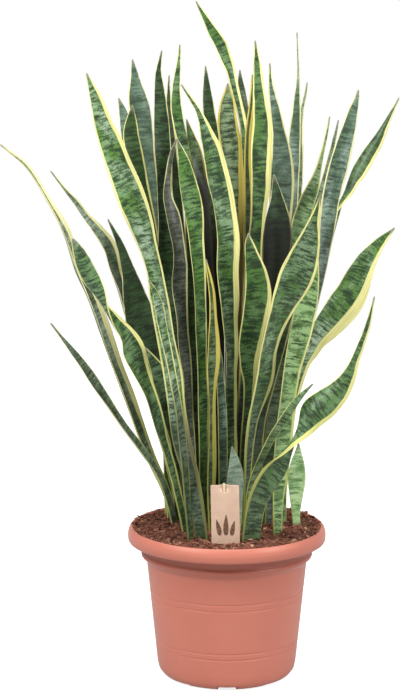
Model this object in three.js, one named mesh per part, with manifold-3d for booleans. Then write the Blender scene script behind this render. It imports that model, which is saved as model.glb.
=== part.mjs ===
import * as THREE from "three";
import { mergeVertices } from "three/addons/utils/BufferGeometryUtils.js";
import Module from "manifold-3d";

// A snake plant with yellow leaf margins, in a moulded plastic pot filled with bark compost.
// Millimetres, +Z up, the front is towards -Y, and the origin is the middle of the pot's foot.

const wallThickness = 3;
const bodyFootRadius = 103.2;
const bodyTopRadius = 118.8;
const bodyFootHeight = 21;
const bodyTopHeight = 173.5;
const ridgeRadius = 127;
const neckRadius = 124;
const rimRadius = 146.3;
const rimTop = 225.5;
const rimInnerRadius = 137;
const footRingRadius = 88;
const footRingWidth = 9;
const centreDiscRadius = 32;
const recessHeight = 3.6;
const grooveHeights = [49, 58, 124, 134];
const grooveDepth = 0.9;
const notchCount = 8;
const notchWidth = 27;
const notchHeight = 3.8;
const drainCount = 5;
const drainRadius = 5;
const drainCircle = 55;
const potSides = 36;

const soilTop = 219;
const soilMound = 4;
const soilGap = 0.5;
const soilBump = 2.4;
const soilSides = 34;
const soilRings = 8;
const soilSeed = 7;

const rootDepth = 36;
const holeGap = 0.35;
const leafStep = 80;
const twistStep = 30;

const cardWidth = 41;
const cardBottom = 223.5;
const cardTop = 311;
const cardThickness = 0.8;
const cardBow = 1.6;
const slitLow = 296;
const slitHigh = 307;
const stickY = -102;
const stickWidth = 3.6;
const stickThickness = 1.6;
const stickTop = 315;
const stickLeanX = -5.4;
const stickFootX = -0.6;

// The leaves are laid out as they are seen from a point in front of the plant, which looks down on it.
const lookDown = THREE.MathUtils.degToRad(10);
const eyeDistance = 3550;
const sightX = -39.75;
const sightUp = 489;

const wasm = await Module();
wasm.setup();

// A point seen x across and z up in the plane through the foot that faces the eye, but at depth y.
const planeUp = new THREE.Vector3(0, Math.sin(lookDown), Math.cos(lookDown));
const sight = new THREE.Vector3(0, Math.cos(lookDown), -Math.sin(lookDown));
const eye = new THREE.Vector3(sightX, 0, 0)
  .addScaledVector(planeUp, sightUp)
  .addScaledVector(sight, -eyeDistance);

function seenPoint(x, z, y) {
  const onPlane = new THREE.Vector3(x, 0, 0).addScaledVector(planeUp, z);
  const share = (y - eye.y) / (onPlane.y - eye.y);
  return eye.clone().lerp(onPlane, share);
}

// Each leaf: name, [base x, base y], depth y of its tip, cup, and rows from the base to the tip.
// A row is [x seen, z seen, width, turn in degrees]: at turn 0 the blade faces the eye, and a
// positive turn takes its right edge away. Cup is the depth of the channel as a share of the width,
// positive where its hollow side faces the eye.
const leaves = [
  ["leaf_left_low", [-78, 8], -40, 0.22,
    [[-89, 260, 15, 50], [-104, 300, 18, 50], [-129.5, 340, 21, 48], [-157, 380, 21, 45],
      [-186.5, 420, 19, 35], [-215, 455, 12, 30], [-231, 475, 9, 20], [-249, 500, 5, 10], [-264, 522, 2, 0]]],
  ["leaf_left_far", [-84, 50], 40, 0.3,
    [[-89, 262, 14, 35], [-115, 320, 18, 46], [-137, 380, 22, 48], [-159.5, 440, 25, 52],
      [-181.5, 500, 27, 55], [-203, 560, 25, 56], [-223, 600, 19, 70], [-242, 660, 17, 50],
      [-267, 705, 9, 50], [-299, 756, 7, 30], [-340, 790, 2, 0]]],
  ["leaf_left_twisted", [-61, -38], -100, 0.18,
    [[-73, 262, 16, 50], [-82, 300, 18, 50], [-94, 340, 22, 58], [-105, 380, 26, 50], [-118, 420, 29, 53],
      [-134, 460, 35, 38], [-141, 482, 35, 18], [-151, 502, 33, 45], [-166, 522, 31, 62],
      [-183, 548, 29, 90], [-200, 580, 27, 150], [-211, 602, 25, 165], [-219, 622, 20, 175],
      [-227, 640, 10, 180], [-231, 649, 2, 180]]],
  ["leaf_left_inner", [-73, 24], 0, 0.2,
    [[-78, 330, 20, 50], [-84, 360, 24, 55], [-92, 400, 29, 40], [-95, 422, 30, 20],
      [-100, 442, 27, 15], [-109, 462, 17, 10], [-124, 487, 2, 0]]],
  ["leaf_left_slim", [-70, 70], 95, 0.24,
    [[-88, 320, 18, 40], [-108, 400, 22, 50], [-132, 480, 24, 55], [-156, 563, 25, 60],
      [-167, 600, 25, 45], [-174, 630, 23, 30], [-182, 646, 21, 20], [-193, 661, 17, 15],
      [-212, 684, 11, 10], [-225, 702, 9, 10], [-241, 721, 5, 0], [-264, 750, 2, 0]]],
  ["leaf_left_dark", [-62, 52], 40, 0.1,
    [[-80, 350, 30, 10], [-98, 430, 42, 5], [-120, 500, 47, 10], [-127, 520, 47, 5],
      [-138, 560, 38, 20], [-148, 600, 22, 25], [-160, 640, 11, 10], [-178, 678, 2, 0]]],
  ["leaf_left_front", [-36, -92], -60, 0.18,
    [[-42, 240, 21, -15], [-51, 290, 26, -28], [-66, 355, 38, -48], [-76, 440, 44, -54],
      [-87, 500, 47, -57], [-97, 560, 48, -59], [-103.5, 600, 47, -61], [-115, 640, 46, -56],
      [-126.5, 676, 46, -38], [-141.5, 712, 44, -22], [-160, 760, 39, -22], [-171, 790, 36, -20],
      [-184, 822, 27, -15], [-196, 860, 17, -8], [-210, 897, 2, 0]]],
  ["leaf_left_narrow", [-54, -94], -170, 0.26,
    [[-60, 260, 13, 50], [-65, 320, 17, 52], [-75, 400, 20, 60], [-91, 480, 21, 60],
      [-98.5, 520, 18, 46], [-101.5, 542, 15, 28], [-106, 564, 9, 10], [-117, 587, 2, 0]]],
  ["leaf_rear_left_a", [-52, 62], 70, 0.12,
    [[-70, 320, 20, 20], [-87, 450, 26, 20], [-106, 600, 27, 25], [-126, 700, 30, 25],
      [-136, 760, 28, 25], [-143, 800, 24, 0], [-143, 822, 18, 0], [-141, 849, 2, 0]]],
  ["leaf_rear_left_b", [-60, 94], 200, 0.12,
    [[-74, 320, 18, 30], [-88, 450, 22, 30], [-106, 600, 22, 30], [-125, 690, 25, 25],
      [-140, 750, 26, 20], [-148, 805, 22, 10], [-155, 838, 13, 0], [-162, 860, 2, 0]]],
  ["leaf_rear_left_c", [-44, 82], 125, 0.12,
    [[-63, 300, 19, -10], [-82, 450, 29, -12], [-99, 600, 36, -10], [-119, 700, 40, -10],
      [-128, 780, 41, -8], [-130, 838, 33, 0], [-134, 862, 27, 0], [-137, 885, 16, 0],
      [-141, 918, 2, 0]]],
  ["leaf_left_upright", [-44, 34], 44, 0.14,
    [[-58, 300, 22, 20], [-78, 450, 28, 20], [-91, 590, 29, 22], [-93, 680, 27, 38],
      [-94.5, 740, 27, 32], [-97, 800, 25, 15], [-98.5, 842, 20, 0], [-101, 880, 13, 0],
      [-102, 900, 8, 0], [-97, 931, 2, 0]]],
  ["leaf_rear_pale", [-34, 46], 100, 0.14,
    [[-41, 350, 18, 20], [-49, 500, 20, 25], [-54, 650, 20, 25], [-57, 740, 20, 20],
      [-65, 790, 18, 10], [-72, 822, 17, 0], [-76, 850, 16, 0], [-75, 880, 11, 0],
      [-71, 920, 5, 0], [-70, 940, 2, 0]]],
  ["leaf_centre_bright", [-36, 2], -20, 0.16,
    [[-36, 320, 18, 48], [-36, 400, 22, 45], [-39, 480, 24, 52], [-41, 560, 26, 48],
      [-46, 640, 28, 40], [-49, 680, 30, 28], [-54, 710, 29, 15], [-60, 742, 23, 8],
      [-64, 765, 16, 0], [-74, 798, 2, 0]]],
  ["leaf_centre_wavy", [-48, -22], 36, 0.2,
    [[-55, 340, 20, 55], [-60, 430, 22, 55], [-64, 470, 26, 52], [-70, 540, 28, 50],
      [-73, 585, 30, 42], [-72, 610, 30, 45], [-74, 640, 28, 50], [-82, 680, 26, 40],
      [-90, 712, 20, 50], [-88, 750, 14, 60], [-83, 775, 8, 40], [-75, 798, 2, 0]]],
  ["leaf_rear_thin", [-28, 72], 150, 0.2,
    [[-46, 350, 16, 40], [-64, 520, 17, 40], [-72, 680, 18, 40], [-79, 750, 17, 40],
      [-82, 800, 13, 30], [-87, 850, 8, 20], [-86, 894, 2, 0]]],
  ["leaf_rear_cream", [-18, 48], 70, 0.16,
    [[-18, 350, 16, 35], [-22, 500, 18, 35], [-28, 620, 18, 35], [-34, 710, 17, 35],
      [-39, 740, 18, 30], [-46.5, 780, 18, 0], [-53, 802, 12, 0], [-60, 828, 2, 0]]],
  ["leaf_centre_front", [4, 26], 10, 0.12,
    [[6, 320, 22, 35], [5, 400, 26, 48], [6, 480, 30, 52], [4, 540, 33, 42],
      [1, 600, 35, 20], [2, 650, 34, 18], [-4, 700, 33, 15], [-13, 740, 34, 10],
      [-21, 780, 28, 8], [-28, 800, 22, 10], [-35, 822, 14, 10], [-43.5, 842, 8, 20],
      [-52, 856, 6, 0], [-68, 880, 2, 0]]],
  ["leaf_label_left", [-22, -36], -70, 0.2,
    [[-24, 260, 13, 35], [-23, 300, 15, 30], [-23, 360, 17, 55], [-23, 420, 19, 50],
      [-21, 470, 22, 35], [-21, 500, 21, 40], [-21, 530, 16, 50], [-23, 570, 11, 40],
      [-31, 618, 2, 0]]],
  ["leaf_label_back", [-6, -2], -20, 0.16,
    [[-6, 280, 14, 30], [-6, 340, 16, 30], [-8, 400, 16, 35], [-10, 440, 13, 35],
      [-11, 470, 9, 20], [-15, 505, 2, 0]]],
  ["leaf_sucker_front", [9, -38], -46, 0.12,
    [[12, 250, 24, 0], [13, 280, 26, 5], [13, 300, 22, 5], [11, 320, 13, 5], [8, 337, 2, 0]]],
  ["leaf_rear_centre_a", [-14, 72], 90, 0.14,
    [[-14, 350, 22, 20], [-17, 550, 27, 20], [-19, 700, 26, 20], [-23, 800, 24, 10],
      [-26.5, 840, 18, 0], [-29.5, 872, 12, 0], [-31.5, 908, 2, 0]]],
  ["leaf_rear_centre_b", [-2, 86], 150, 0.14,
    [[6, 350, 20, 15], [10, 550, 30, 15], [9, 700, 36, 20], [6, 780, 36, 15], [2, 815, 32, 0],
      [1, 840, 26, 0], [2, 860, 18, 0], [2, 882, 2, 0]]],
  ["leaf_tallest", [20, 98], 190, 0.2,
    [[30, 380, 18, 40], [36, 560, 20, 45], [32, 700, 20, 50], [27, 780, 18, 50],
      [23.5, 820, 17, 48], [14.5, 860, 17, 50], [5, 900, 18, 40], [-2, 920, 18, 15],
      [-9, 940, 18, 0], [-21, 960, 15, 0], [-32, 980, 9, 0], [-46, 1005, 2, 0]]],
  ["leaf_rear_purple", [36, 108], 235, 0.16,
    [[36, 380, 14, 40], [40, 600, 16, 45], [36, 780, 15, 50], [29, 840, 12, 45],
      [25, 862, 11, 30], [21, 884, 8, 0], [20, 902, 2, 0]]],
  ["leaf_right_tall", [14, 52], 60, 0.14,
    [[22, 350, 20, 25], [34, 500, 28, 25], [40, 620, 32, 35], [46, 680, 31, 45], [49, 720, 33, 35],
      [51, 780, 33, 25], [53, 820, 28, 12], [50, 850, 22, 10], [48, 880, 16, 0],
      [46, 910, 11, 0], [43, 946, 2, 0]]],
  ["leaf_rear_golden", [18, 78], 100, 0.2,
    [[22, 400, 16, 40], [30, 600, 20, 45], [32, 700, 22, 50], [32, 800, 20, 55],
      [37, 850, 14, 55], [39, 872, 9, 30], [39, 895, 2, 0]]],
  ["leaf_right_blue", [40, 72], 105, 0.14,
    [[54, 400, 20, 20], [70, 580, 30, 20], [80, 690, 38, 20], [82, 740, 38, 15],
      [81.5, 775, 31, 10], [78, 808, 22, 0], [73, 840, 16, 0], [67, 875, 9, 0], [65, 912, 2, 0]]],
  ["leaf_right_folded", [34, 34], 15, 0.24,
    [[46, 400, 26, 30], [60, 520, 36, 30], [70, 600, 42, 25], [75, 645, 44, 10], [76, 680, 36, 10],
      [75, 710, 19, 10], [71, 745, 2, 0]]],
  ["leaf_rear_right_a", [48, 86], 160, 0.14,
    [[66, 400, 18, 20], [88, 600, 24, 20], [98, 740, 22, 20], [102, 800, 18, 10],
      [104.5, 835, 14, 0], [106.7, 870, 8, 0], [107.7, 900, 4, 0], [105.7, 958, 2, 0]]],
  ["leaf_rear_right_b", [64, 94], 225, 0.14,
    [[74, 400, 18, 20], [94, 600, 21, 20], [104, 730, 20, 20], [107, 780, 17, 0],
      [109, 815, 12, 0], [114, 845, 6, 0], [119, 868, 4, 0], [121, 883, 2, 0]]],
  ["leaf_right_behind", [52, 50], 70, 0.16,
    [[66, 360, 20, 20], [84, 480, 28, 20], [98, 580, 31, 20], [108, 660, 30, 25],
      [118, 700, 28, 30], [127, 722, 24, 30], [135, 745, 13, 30], [143.5, 778, 6, 30],
      [150, 806, 4, 20], [155, 832, 2, 0]]],
  ["leaf_back_a", [-24, 104], 255, 0.12,
    [[-28, 400, 22, 10], [-30, 520, 28, 5], [-34, 620, 26, 0], [-36, 690, 14, 0], [-38, 740, 2, 0]]],
  ["leaf_back_b", [0, 111], 270, 0.12,
    [[8, 400, 22, -10], [14, 540, 28, -5], [18, 640, 24, 0], [21, 700, 12, 0], [24, 750, 2, 0]]],
  ["leaf_back_c", [-86, 70], 138, 0.12,
    [[-93, 400, 16, 15], [-113, 500, 22, 10], [-130, 560, 18, 0], [-147, 605, 2, 0]]],
  ["leaf_back_d", [79, 76], 230, 0.12,
    [[96, 400, 20, 20], [116, 520, 26, 15], [126, 590, 22, 10], [132, 640, 10, 0],
      [136, 680, 2, 0]]],
  ["leaf_rear_right_c", [62, 76], 140, 0.16,
    [[82, 400, 13, 30], [112, 580, 15, 30], [134, 690, 14, 30], [147, 740, 10, 30],
      [157, 778, 7, 20], [163, 803, 5, 0], [168, 827, 2, 0]]],
  ["leaf_right_arching", [60, 8], 38, 0.14,
    [[66, 270, 16, 40], [77, 320, 19, 40], [98, 430, 26, 45], [122, 530, 28, 50], [139, 600, 29, 58],
      [145, 640, 30, 50], [151, 680, 31, 33], [156, 715, 31, 30], [165, 750, 32, 30],
      [176, 790, 28, 25], [184.5, 820, 20, 15], [190, 842, 14, 10], [195, 858, 8, 0],
      [198, 872, 2, 0]]],
  ["leaf_right_far", [82, 58], 125, 0.18,
    [[90, 350, 17, 62], [108, 460, 22, 68], [131, 560, 26, 74], [143, 610, 28, 72],
      [152.5, 650, 28, 75], [163, 682, 26, 74], [174, 706, 26, 94], [182, 720, 24, 120],
      [188, 733, 22, 138], [197, 749, 26, 150], [210, 771, 24, 155], [226, 795, 18, 160],
      [239, 820, 10, 165], [250, 842, 5, 180], [259, 860, 2, 180]]],
  ["leaf_right_long_front", [28, -10], -140, 0.1,
    [[32, 320, 18, 50], [38, 370, 22, 50], [48, 410, 32, 50], [57, 445, 37, 48], [62, 480, 42, 56],
      [70, 514, 46, 57], [84, 548, 50, 45], [96.5, 575, 50, 27], [105, 595, 50, 15],
      [114, 618, 45, 12], [123, 645, 33, 10], [130, 672, 17, 10], [136, 694, 8, 10],
      [140, 712, 2, 0]]],
  ["leaf_right_short_broad", [20, 14], -15, 0.12,
    [[28, 340, 18, 30], [34, 430, 22, 35], [33, 460, 29, 25], [36, 490, 37, 15], [43, 530, 39, 10],
      [47, 565, 39, 10], [45, 595, 32, 0], [39, 620, 22, 0], [34, 642, 13, 0], [33, 657, 2, 0]]],
  ["leaf_right_low_arching", [84, 12], -54, 0.12,
    [[87, 300, 13, 60], [93.5, 350, 17, 68], [99.5, 390, 20, 72], [106, 425, 22, 66],
      [116.5, 460, 25, 53], [125, 478, 31, 42], [134.5, 497, 35, 34], [153.5, 521, 43, 20],
      [173, 545, 48, 8], [186, 563, 46, 0], [198, 590, 39, 0], [212, 618, 28, 0],
      [230, 642, 16, 0], [252.6, 665, 2, 0]]],
  ["leaf_right_light", [73, -54], -66, 0.16,
    [[76, 240, 16, 30], [79, 290, 23, 30], [84, 350, 27, 30], [90, 400, 26, 30], [97, 450, 27, 25],
      [109, 500, 32, 15], [118, 545, 33, 15], [124, 580, 28, 10], [130, 615, 16, 0],
      [134, 642, 2, 0]]],
  ["leaf_right_front_twisted", [33, -90], -150, 0.2,
    [[41, 236, 28, 5], [48, 262, 29, 12], [62, 288, 33, 18], [76, 308, 33, 30], [88, 326, 28, 65],
      [99, 342, 27, 95], [108, 355, 29, 125], [117, 369, 34, 148], [130, 388, 43, 166],
      [148.5, 401.5, 41, 175], [168, 419, 32, 182], [184, 442, 21, 188], [193.5, 466, 13, 190],
      [204.5, 495, 10, 190], [213, 521, 7, 190], [222, 562, 2, 190]]],
  ["leaf_right_low", [29, -34], -120, 0.16,
    [[33, 265, 11, 50], [40, 293, 12, 50], [53, 322, 13, 45], [70, 355, 14, 40], [90, 385, 13, 30],
      [108, 409, 9, 10], [130, 431, 2, 0]]],
  ["leaf_right_hidden", [43, 0], -30, 0.14,
    [[46, 320, 18, 35], [50, 380, 20, 30], [59, 425, 24, 30], [68, 460, 26, 25], [78, 500, 26, 20],
      [92, 535, 16, 10], [108, 562, 2, 0]]],
  ["leaf_sucker_right", [104, 10], 30, 0.12,
    [[104, 238, 13, 10], [104.5, 262, 20, 0], [105.5, 287, 26, 0], [106.5, 311, 21, 0],
      [107.5, 327, 11, 0], [108, 342, 2, 0]]],
];

// Smooth values through rows of numbers at the given lengths: cubic pieces, whose slope at a row is
// that of the line between its neighbours.
function smoothAt(rows, at, t) {
  const last = rows.length - 1;
  let i = 0;
  while (i < last - 1 && t > at[i + 1]) i += 1;
  const span = at[i + 1] - at[i];
  const u = (t - at[i]) / span;
  const slope = (k, j) => {
    const before = Math.max(k - 1, 0);
    const after = Math.min(k + 1, last);
    return (rows[after][j] - rows[before][j]) / (at[after] - at[before]);
  };
  return rows[i].map((value, j) => {
    const rise = rows[i + 1][j] - value;
    const startSlope = slope(i, j) * span;
    const endSlope = slope(i + 1, j) * span;
    const curve = (startSlope + endSlope - 2 * rise) * u + (3 * rise - 2 * startSlope - endSlope);
    return value + u * (startSlope + u * curve);
  });
}

// The leaf's middle line with its width and turn, as [x, y, z, width, turn] rows from root to tip.
function leafLine([, [baseX, baseY], tipY, , rows]) {
  const tipZ = rows[rows.length - 1][1];
  const baseWidth = rows[0][2] * 0.92;
  const line = [
    [baseX, baseY, soilTop - rootDepth, baseWidth * 0.9, rows[0][3]],
    [baseX, baseY, soilTop, baseWidth, rows[0][3]],
  ];
  for (const [x, z, width, turn] of rows) {
    const share = Math.max((z - soilTop) / (tipZ - soilTop), 0) ** 1.3;
    const p = seenPoint(x, z, baseY + (tipY - baseY) * share);
    line.push([p.x, p.y, p.z, width, turn]);
  }
  return line;
}

function lengthsAlong(line) {
  const at = [0];
  for (let i = 1; i < line.length; i += 1) {
    const a = new THREE.Vector3(...line[i - 1]);
    at.push(at[i - 1] + a.distanceTo(new THREE.Vector3(...line[i])));
  }
  return at;
}

// Blade thickness: fleshy at the base, thinner above, and round at the awl-like tip.
function thicknessAt(t, length, width) {
  const blade = THREE.MathUtils.lerp(8.5, 3.6, Math.min(t / length / 0.45, 1));
  return Math.min(blade, 0.55 * width + 0.6);
}

// Eight points round a leaf at length t: two edges, three points in front and three behind.
const sectionPoints = [
  [-1, 0], [-0.5, -0.8], [0, -1], [0.5, -0.8], [1, 0], [0.5, 0.8], [0, 1], [-0.5, 0.8],
];

function leafRing(line, at, t, cup, grow) {
  const length = at[at.length - 1];
  const [x, y, z, width, turn] = smoothAt(line, at, t);
  const centre = new THREE.Vector3(x, y, z);
  const small = Math.min(2, length / 100);
  const ahead = new THREE.Vector3(...smoothAt(line, at, Math.min(t + small, length)));
  const behind = new THREE.Vector3(...smoothAt(line, at, Math.max(t - small, 0)));
  const along = ahead.sub(behind).normalize();
  const flat = new THREE.Vector3().crossVectors(centre.clone().sub(eye), along).normalize();
  const across = flat.applyAxisAngle(along, THREE.MathUtils.degToRad(turn));
  const away = new THREE.Vector3().crossVectors(along, across);
  const half = thicknessAt(t, length, width) / 2 + grow;
  return sectionPoints.map(([u, side]) => {
    const hollow = -cup * width * (u * u - 0.35);
    const edge = Math.abs(u) === 1 ? grow : 0;
    return centre
      .clone()
      .addScaledVector(across, (u * width) / 2 + Math.sign(u) * 2.2 * edge)
      .addScaledVector(away, hollow - Math.sign(cup) * 0.5 * edge + side * half);
  });
}

// A closed body through rings with the same number of points. Each ring's first half is the front and
// its second half the back. Both are cut along the same diagonals, so a twisted thin leaf keeps its
// thickness, and the end caps are strips between the two, so a hollow section stays whole.
function skinRings(rings) {
  const count = rings[0].length;
  const faces = [];
  for (let r = 0; r < rings.length - 1; r += 1) {
    for (let k = 0; k < count; k += 1) {
      const next = (k + 1) % count;
      const a = r * count + k;
      const b = r * count + next;
      if (k < count / 2) faces.push(a, b, b + count, a, b + count, a + count);
      else faces.push(a, b, a + count, b, b + count, a + count);
    }
  }
  const top = (rings.length - 1) * count;
  for (let k = 0; k < count / 2; k += 1) {
    const [b, c, d] = [k + 1, count - k - 1, (count - k) % count];
    if (b !== c) faces.push(k, c, b, top + k, top + b, top + c);
    if (k !== d) faces.push(k, d, c, top + k, top + c, top + d);
  }
  const geometry = new THREE.BufferGeometry().setFromPoints(rings.flat());
  geometry.setIndex(faces);
  return geometry;
}

// A ring at each row but the one at the compost's surface, and more where rows are far apart or the
// leaf twists quickly.
function leafStations(at, line) {
  const knots = at.filter((_, i) => i !== 1);
  const turns = line.map((row) => row[4]).filter((_, i) => i !== 1);
  const stations = [];
  for (let i = 0; i < knots.length - 1; i += 1) {
    const twist = Math.abs(turns[i + 1] - turns[i]);
    const parts = Math.ceil(Math.max((knots[i + 1] - knots[i]) / leafStep, twist / twistStep));
    for (let k = 0; k < parts; k += 1) {
      stations.push(knots[i] + ((knots[i + 1] - knots[i]) * k) / parts);
    }
  }
  return [...stations, knots[knots.length - 1]];
}

function leafGeometry(leaf) {
  const line = leafLine(leaf);
  const at = lengthsAlong(line);
  return skinRings(leafStations(at, line).map((t) => leafRing(line, at, t, leaf[3], 0)));
}

// The hole that a leaf's base stands in: the same rings, a little larger, from under the root up
// through the compost's surface.
function holeGeometry(leaf) {
  const line = leafLine(leaf);
  const at = lengthsAlong(line);
  const rings = leafStations(at, line)
    .filter((t, i, all) => i === 0 || all[i - 1] < rootDepth + 26)
    .map((t) => leafRing(line, at, t, leaf[3], holeGap));
  const under = rings[0].map((p, k) => p.clone().lerp(rings[1][k], -0.02));
  return skinRings([under, ...rings.slice(1)]);
}

function solidFrom(geometry) {
  const plain = geometry.clone();
  plain.deleteAttribute("normal");
  plain.deleteAttribute("uv");
  const merged = mergeVertices(plain, 1e-4);
  const index = merged.index.array;
  const kept = [];
  for (let i = 0; i < index.length; i += 3) {
    const [a, b, c] = [index[i], index[i + 1], index[i + 2]];
    if (a !== b && b !== c && c !== a) kept.push(a, b, c);
  }
  return new wasm.Manifold(
    new wasm.Mesh({
      numProp: 3,
      vertProperties: new Float32Array(merged.attributes.position.array),
      triVerts: new Uint32Array(kept),
    }),
  );
}

function geometryFrom(solid) {
  const mesh = solid.getMesh();
  const geometry = new THREE.BufferGeometry();
  geometry.setAttribute("position", new THREE.BufferAttribute(mesh.vertProperties, 3));
  geometry.setIndex(new THREE.BufferAttribute(mesh.triVerts, 1));
  return geometry;
}

function turned(profile, sides) {
  const points = profile.map(([r, z]) => new THREE.Vector2(r, z));
  return new THREE.LatheGeometry(points, sides).rotateX(Math.PI / 2);
}

// The pot's outer wall between foot and neck, straight, with V grooves.
function bodyRadius(z) {
  return THREE.MathUtils.mapLinear(z, bodyFootHeight, bodyTopHeight, bodyFootRadius, bodyTopRadius);
}

function potProfile() {
  const grooves = grooveHeights.flatMap((z) => [
    [bodyRadius(z - 1.2), z - 1.2],
    [bodyRadius(z) - grooveDepth, z],
    [bodyRadius(z + 1.2), z + 1.2],
  ]);
  const footInner = footRingRadius - footRingWidth;
  return [
    [0, 0], [centreDiscRadius, 0], [centreDiscRadius + 3, recessHeight],
    [footInner - 3, recessHeight], [footInner, 0], [footRingRadius, 0],
    [95.6, 3.6], [101.2, 11], [bodyFootRadius, bodyFootHeight],
    ...grooves,
    [bodyTopRadius, bodyTopHeight], [120.4, 177], [124.4, 180], [ridgeRadius, 183], [ridgeRadius, 187],
    [neckRadius, 189.5], [neckRadius, 202], [130.5, 215], [137, 220.3], [142.5, 215], [143, 204],
    [rimRadius, 207.5], [rimRadius + 0.6, 216], [144.5, 222.5], [142, rimTop], [139.5, rimTop],
    [rimInnerRadius, 223.3], [neckRadius + 3.4, 215.2], [neckRadius - wallThickness, 203],
    [neckRadius - wallThickness, 186], [bodyTopRadius - wallThickness, 172],
    [bodyFootRadius - wallThickness, bodyFootHeight], [94.4, 9], [89, 7], [0, 7],
  ];
}

function potGeometry() {
  let pot = solidFrom(turned(potProfile(), potSides));
  for (let i = 0; i < notchCount; i += 1) {
    const angle = -Math.PI / 2 + (i / notchCount) * 2 * Math.PI;
    const notch = new THREE.BoxGeometry(30, notchWidth, notchHeight * 2)
      .translate(footRingRadius + 2, 0, 0)
      .rotateZ(angle);
    pot = pot.subtract(solidFrom(notch));
  }
  for (let i = 0; i < drainCount; i += 1) {
    const angle = (i / drainCount) * 2 * Math.PI;
    const drain = new THREE.CylinderGeometry(drainRadius, drainRadius, 20, 8)
      .rotateX(Math.PI / 2)
      .translate(drainCircle * Math.cos(angle), drainCircle * Math.sin(angle), 0);
    pot = pot.subtract(solidFrom(drain));
  }
  return geometryFrom(pot);
}

function stickShape(widen) {
  const half = stickWidth / 2 + widen;
  const low = soilTop - 34 - widen;
  const shape = new THREE.Shape();
  shape.moveTo(-half, low);
  shape.lineTo(half, low);
  shape.lineTo(half, stickTop - half);
  shape.absarc(0, stickTop - half, half, 0, Math.PI, false);
  return shape;
}

function stickGeometry(widen) {
  const depth = stickThickness + 2 * widen;
  const lean = Math.atan2(stickLeanX - stickFootX, stickTop - soilTop);
  return new THREE.ExtrudeGeometry(stickShape(widen), { depth, bevelEnabled: false, curveSegments: 6 })
    .translate(0, 0, -depth / 2)
    .rotateX(Math.PI / 2)
    .translate(0, 0, -soilTop)
    .rotateY(lean)
    .translate(stickFootX, stickY, soilTop);
}

// The card lies in front of the stick, and above the slit behind it.
function cardPoint(u, v) {
  const z = THREE.MathUtils.lerp(cardBottom, cardTop, v);
  const pass = THREE.MathUtils.smoothstep(z, slitLow, slitHigh);
  const lean = (stickLeanX - stickFootX) * 0.35 * (v - 0.5);
  const apart = stickThickness / 2 + cardThickness / 2 + 0.65;
  const y = stickY + THREE.MathUtils.lerp(-apart, apart, pass) - cardBow * (u * u - 0.05);
  return new THREE.Vector3(-3.4 + lean + (u * cardWidth) / 2, y, z);
}

function cardGeometry() {
  const columns = 6;
  const heights = [0, 0.3, 0.6, 0.8, 0.84, 0.87, 0.9, 0.93, 0.96, 1];
  const rings = heights.map((v) => {
    const front = [];
    const back = [];
    for (let i = 0; i <= columns; i += 1) {
      const p = cardPoint((2 * i) / columns - 1, v);
      front.push(p.clone().setY(p.y - cardThickness / 2));
      back.unshift(p.clone().setY(p.y + cardThickness / 2));
    }
    return [...front, ...back];
  });
  return geometryFrom(solidFrom(skinRings(rings)).subtract(solidFrom(stickGeometry(0.4))));
}

// Small whole-number generator, so the bumps are the same every time.
function seeded(seed) {
  let state = seed;
  return () => {
    state = (state * 16807) % 2147483647;
    return state / 2147483647;
  };
}

function soilGeometry() {
  const edge = 129.8;
  const profile = [
    [0, 7.5], [88, 7.5], [93.6, 9.5], [bodyFootRadius - wallThickness - soilGap, bodyFootHeight],
    [bodyTopRadius - wallThickness - soilGap, 172], [neckRadius - wallThickness - soilGap, 186.5],
    [neckRadius - wallThickness - soilGap, 203.5], [neckRadius + 2.2, 215.4],
  ];
  for (let i = soilRings; i >= 0; i -= 1) {
    const share = i / soilRings;
    profile.push([edge * share, soilTop + soilMound * (1 - share ** 2)]);
  }
  const soil = solidFrom(turned(profile, soilSides));
  const random = seeded(soilSeed);
  const bumpy = soil.warp((p) => {
    const radius = Math.hypot(p[0], p[1]);
    if (p[2] > soilTop - 1) p[2] += soilBump * (2 * random() - 1) * (radius > edge - 1 ? 0.3 : 1);
  });
  const holes = [...leaves.map(holeGeometry), stickGeometry(0.35)];
  let cut = bumpy;
  for (const hole of holes) cut = cut.subtract(solidFrom(hole));
  return geometryFrom(cut);
}

function part(name, geometry, color, roughness) {
  const mesh = new THREE.Mesh(geometry, new THREE.MeshStandardMaterial({ color, roughness }));
  mesh.name = name;
  return mesh;
}

const plant = new THREE.Group();
plant.add(part("pot", potGeometry(), 0xc87b68, 0.45));
plant.add(part("soil", soilGeometry(), 0x5e3b2c, 0.95));
plant.add(part("label_card", cardGeometry(), 0xc9a27a, 0.85));
plant.add(part("label_stick", stickGeometry(0), 0xd9c39a, 0.8));
for (const leaf of leaves) {
  plant.add(part(leaf[0], leafGeometry(leaf), 0x4f7346, 0.5));
}

export default plant;
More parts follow.
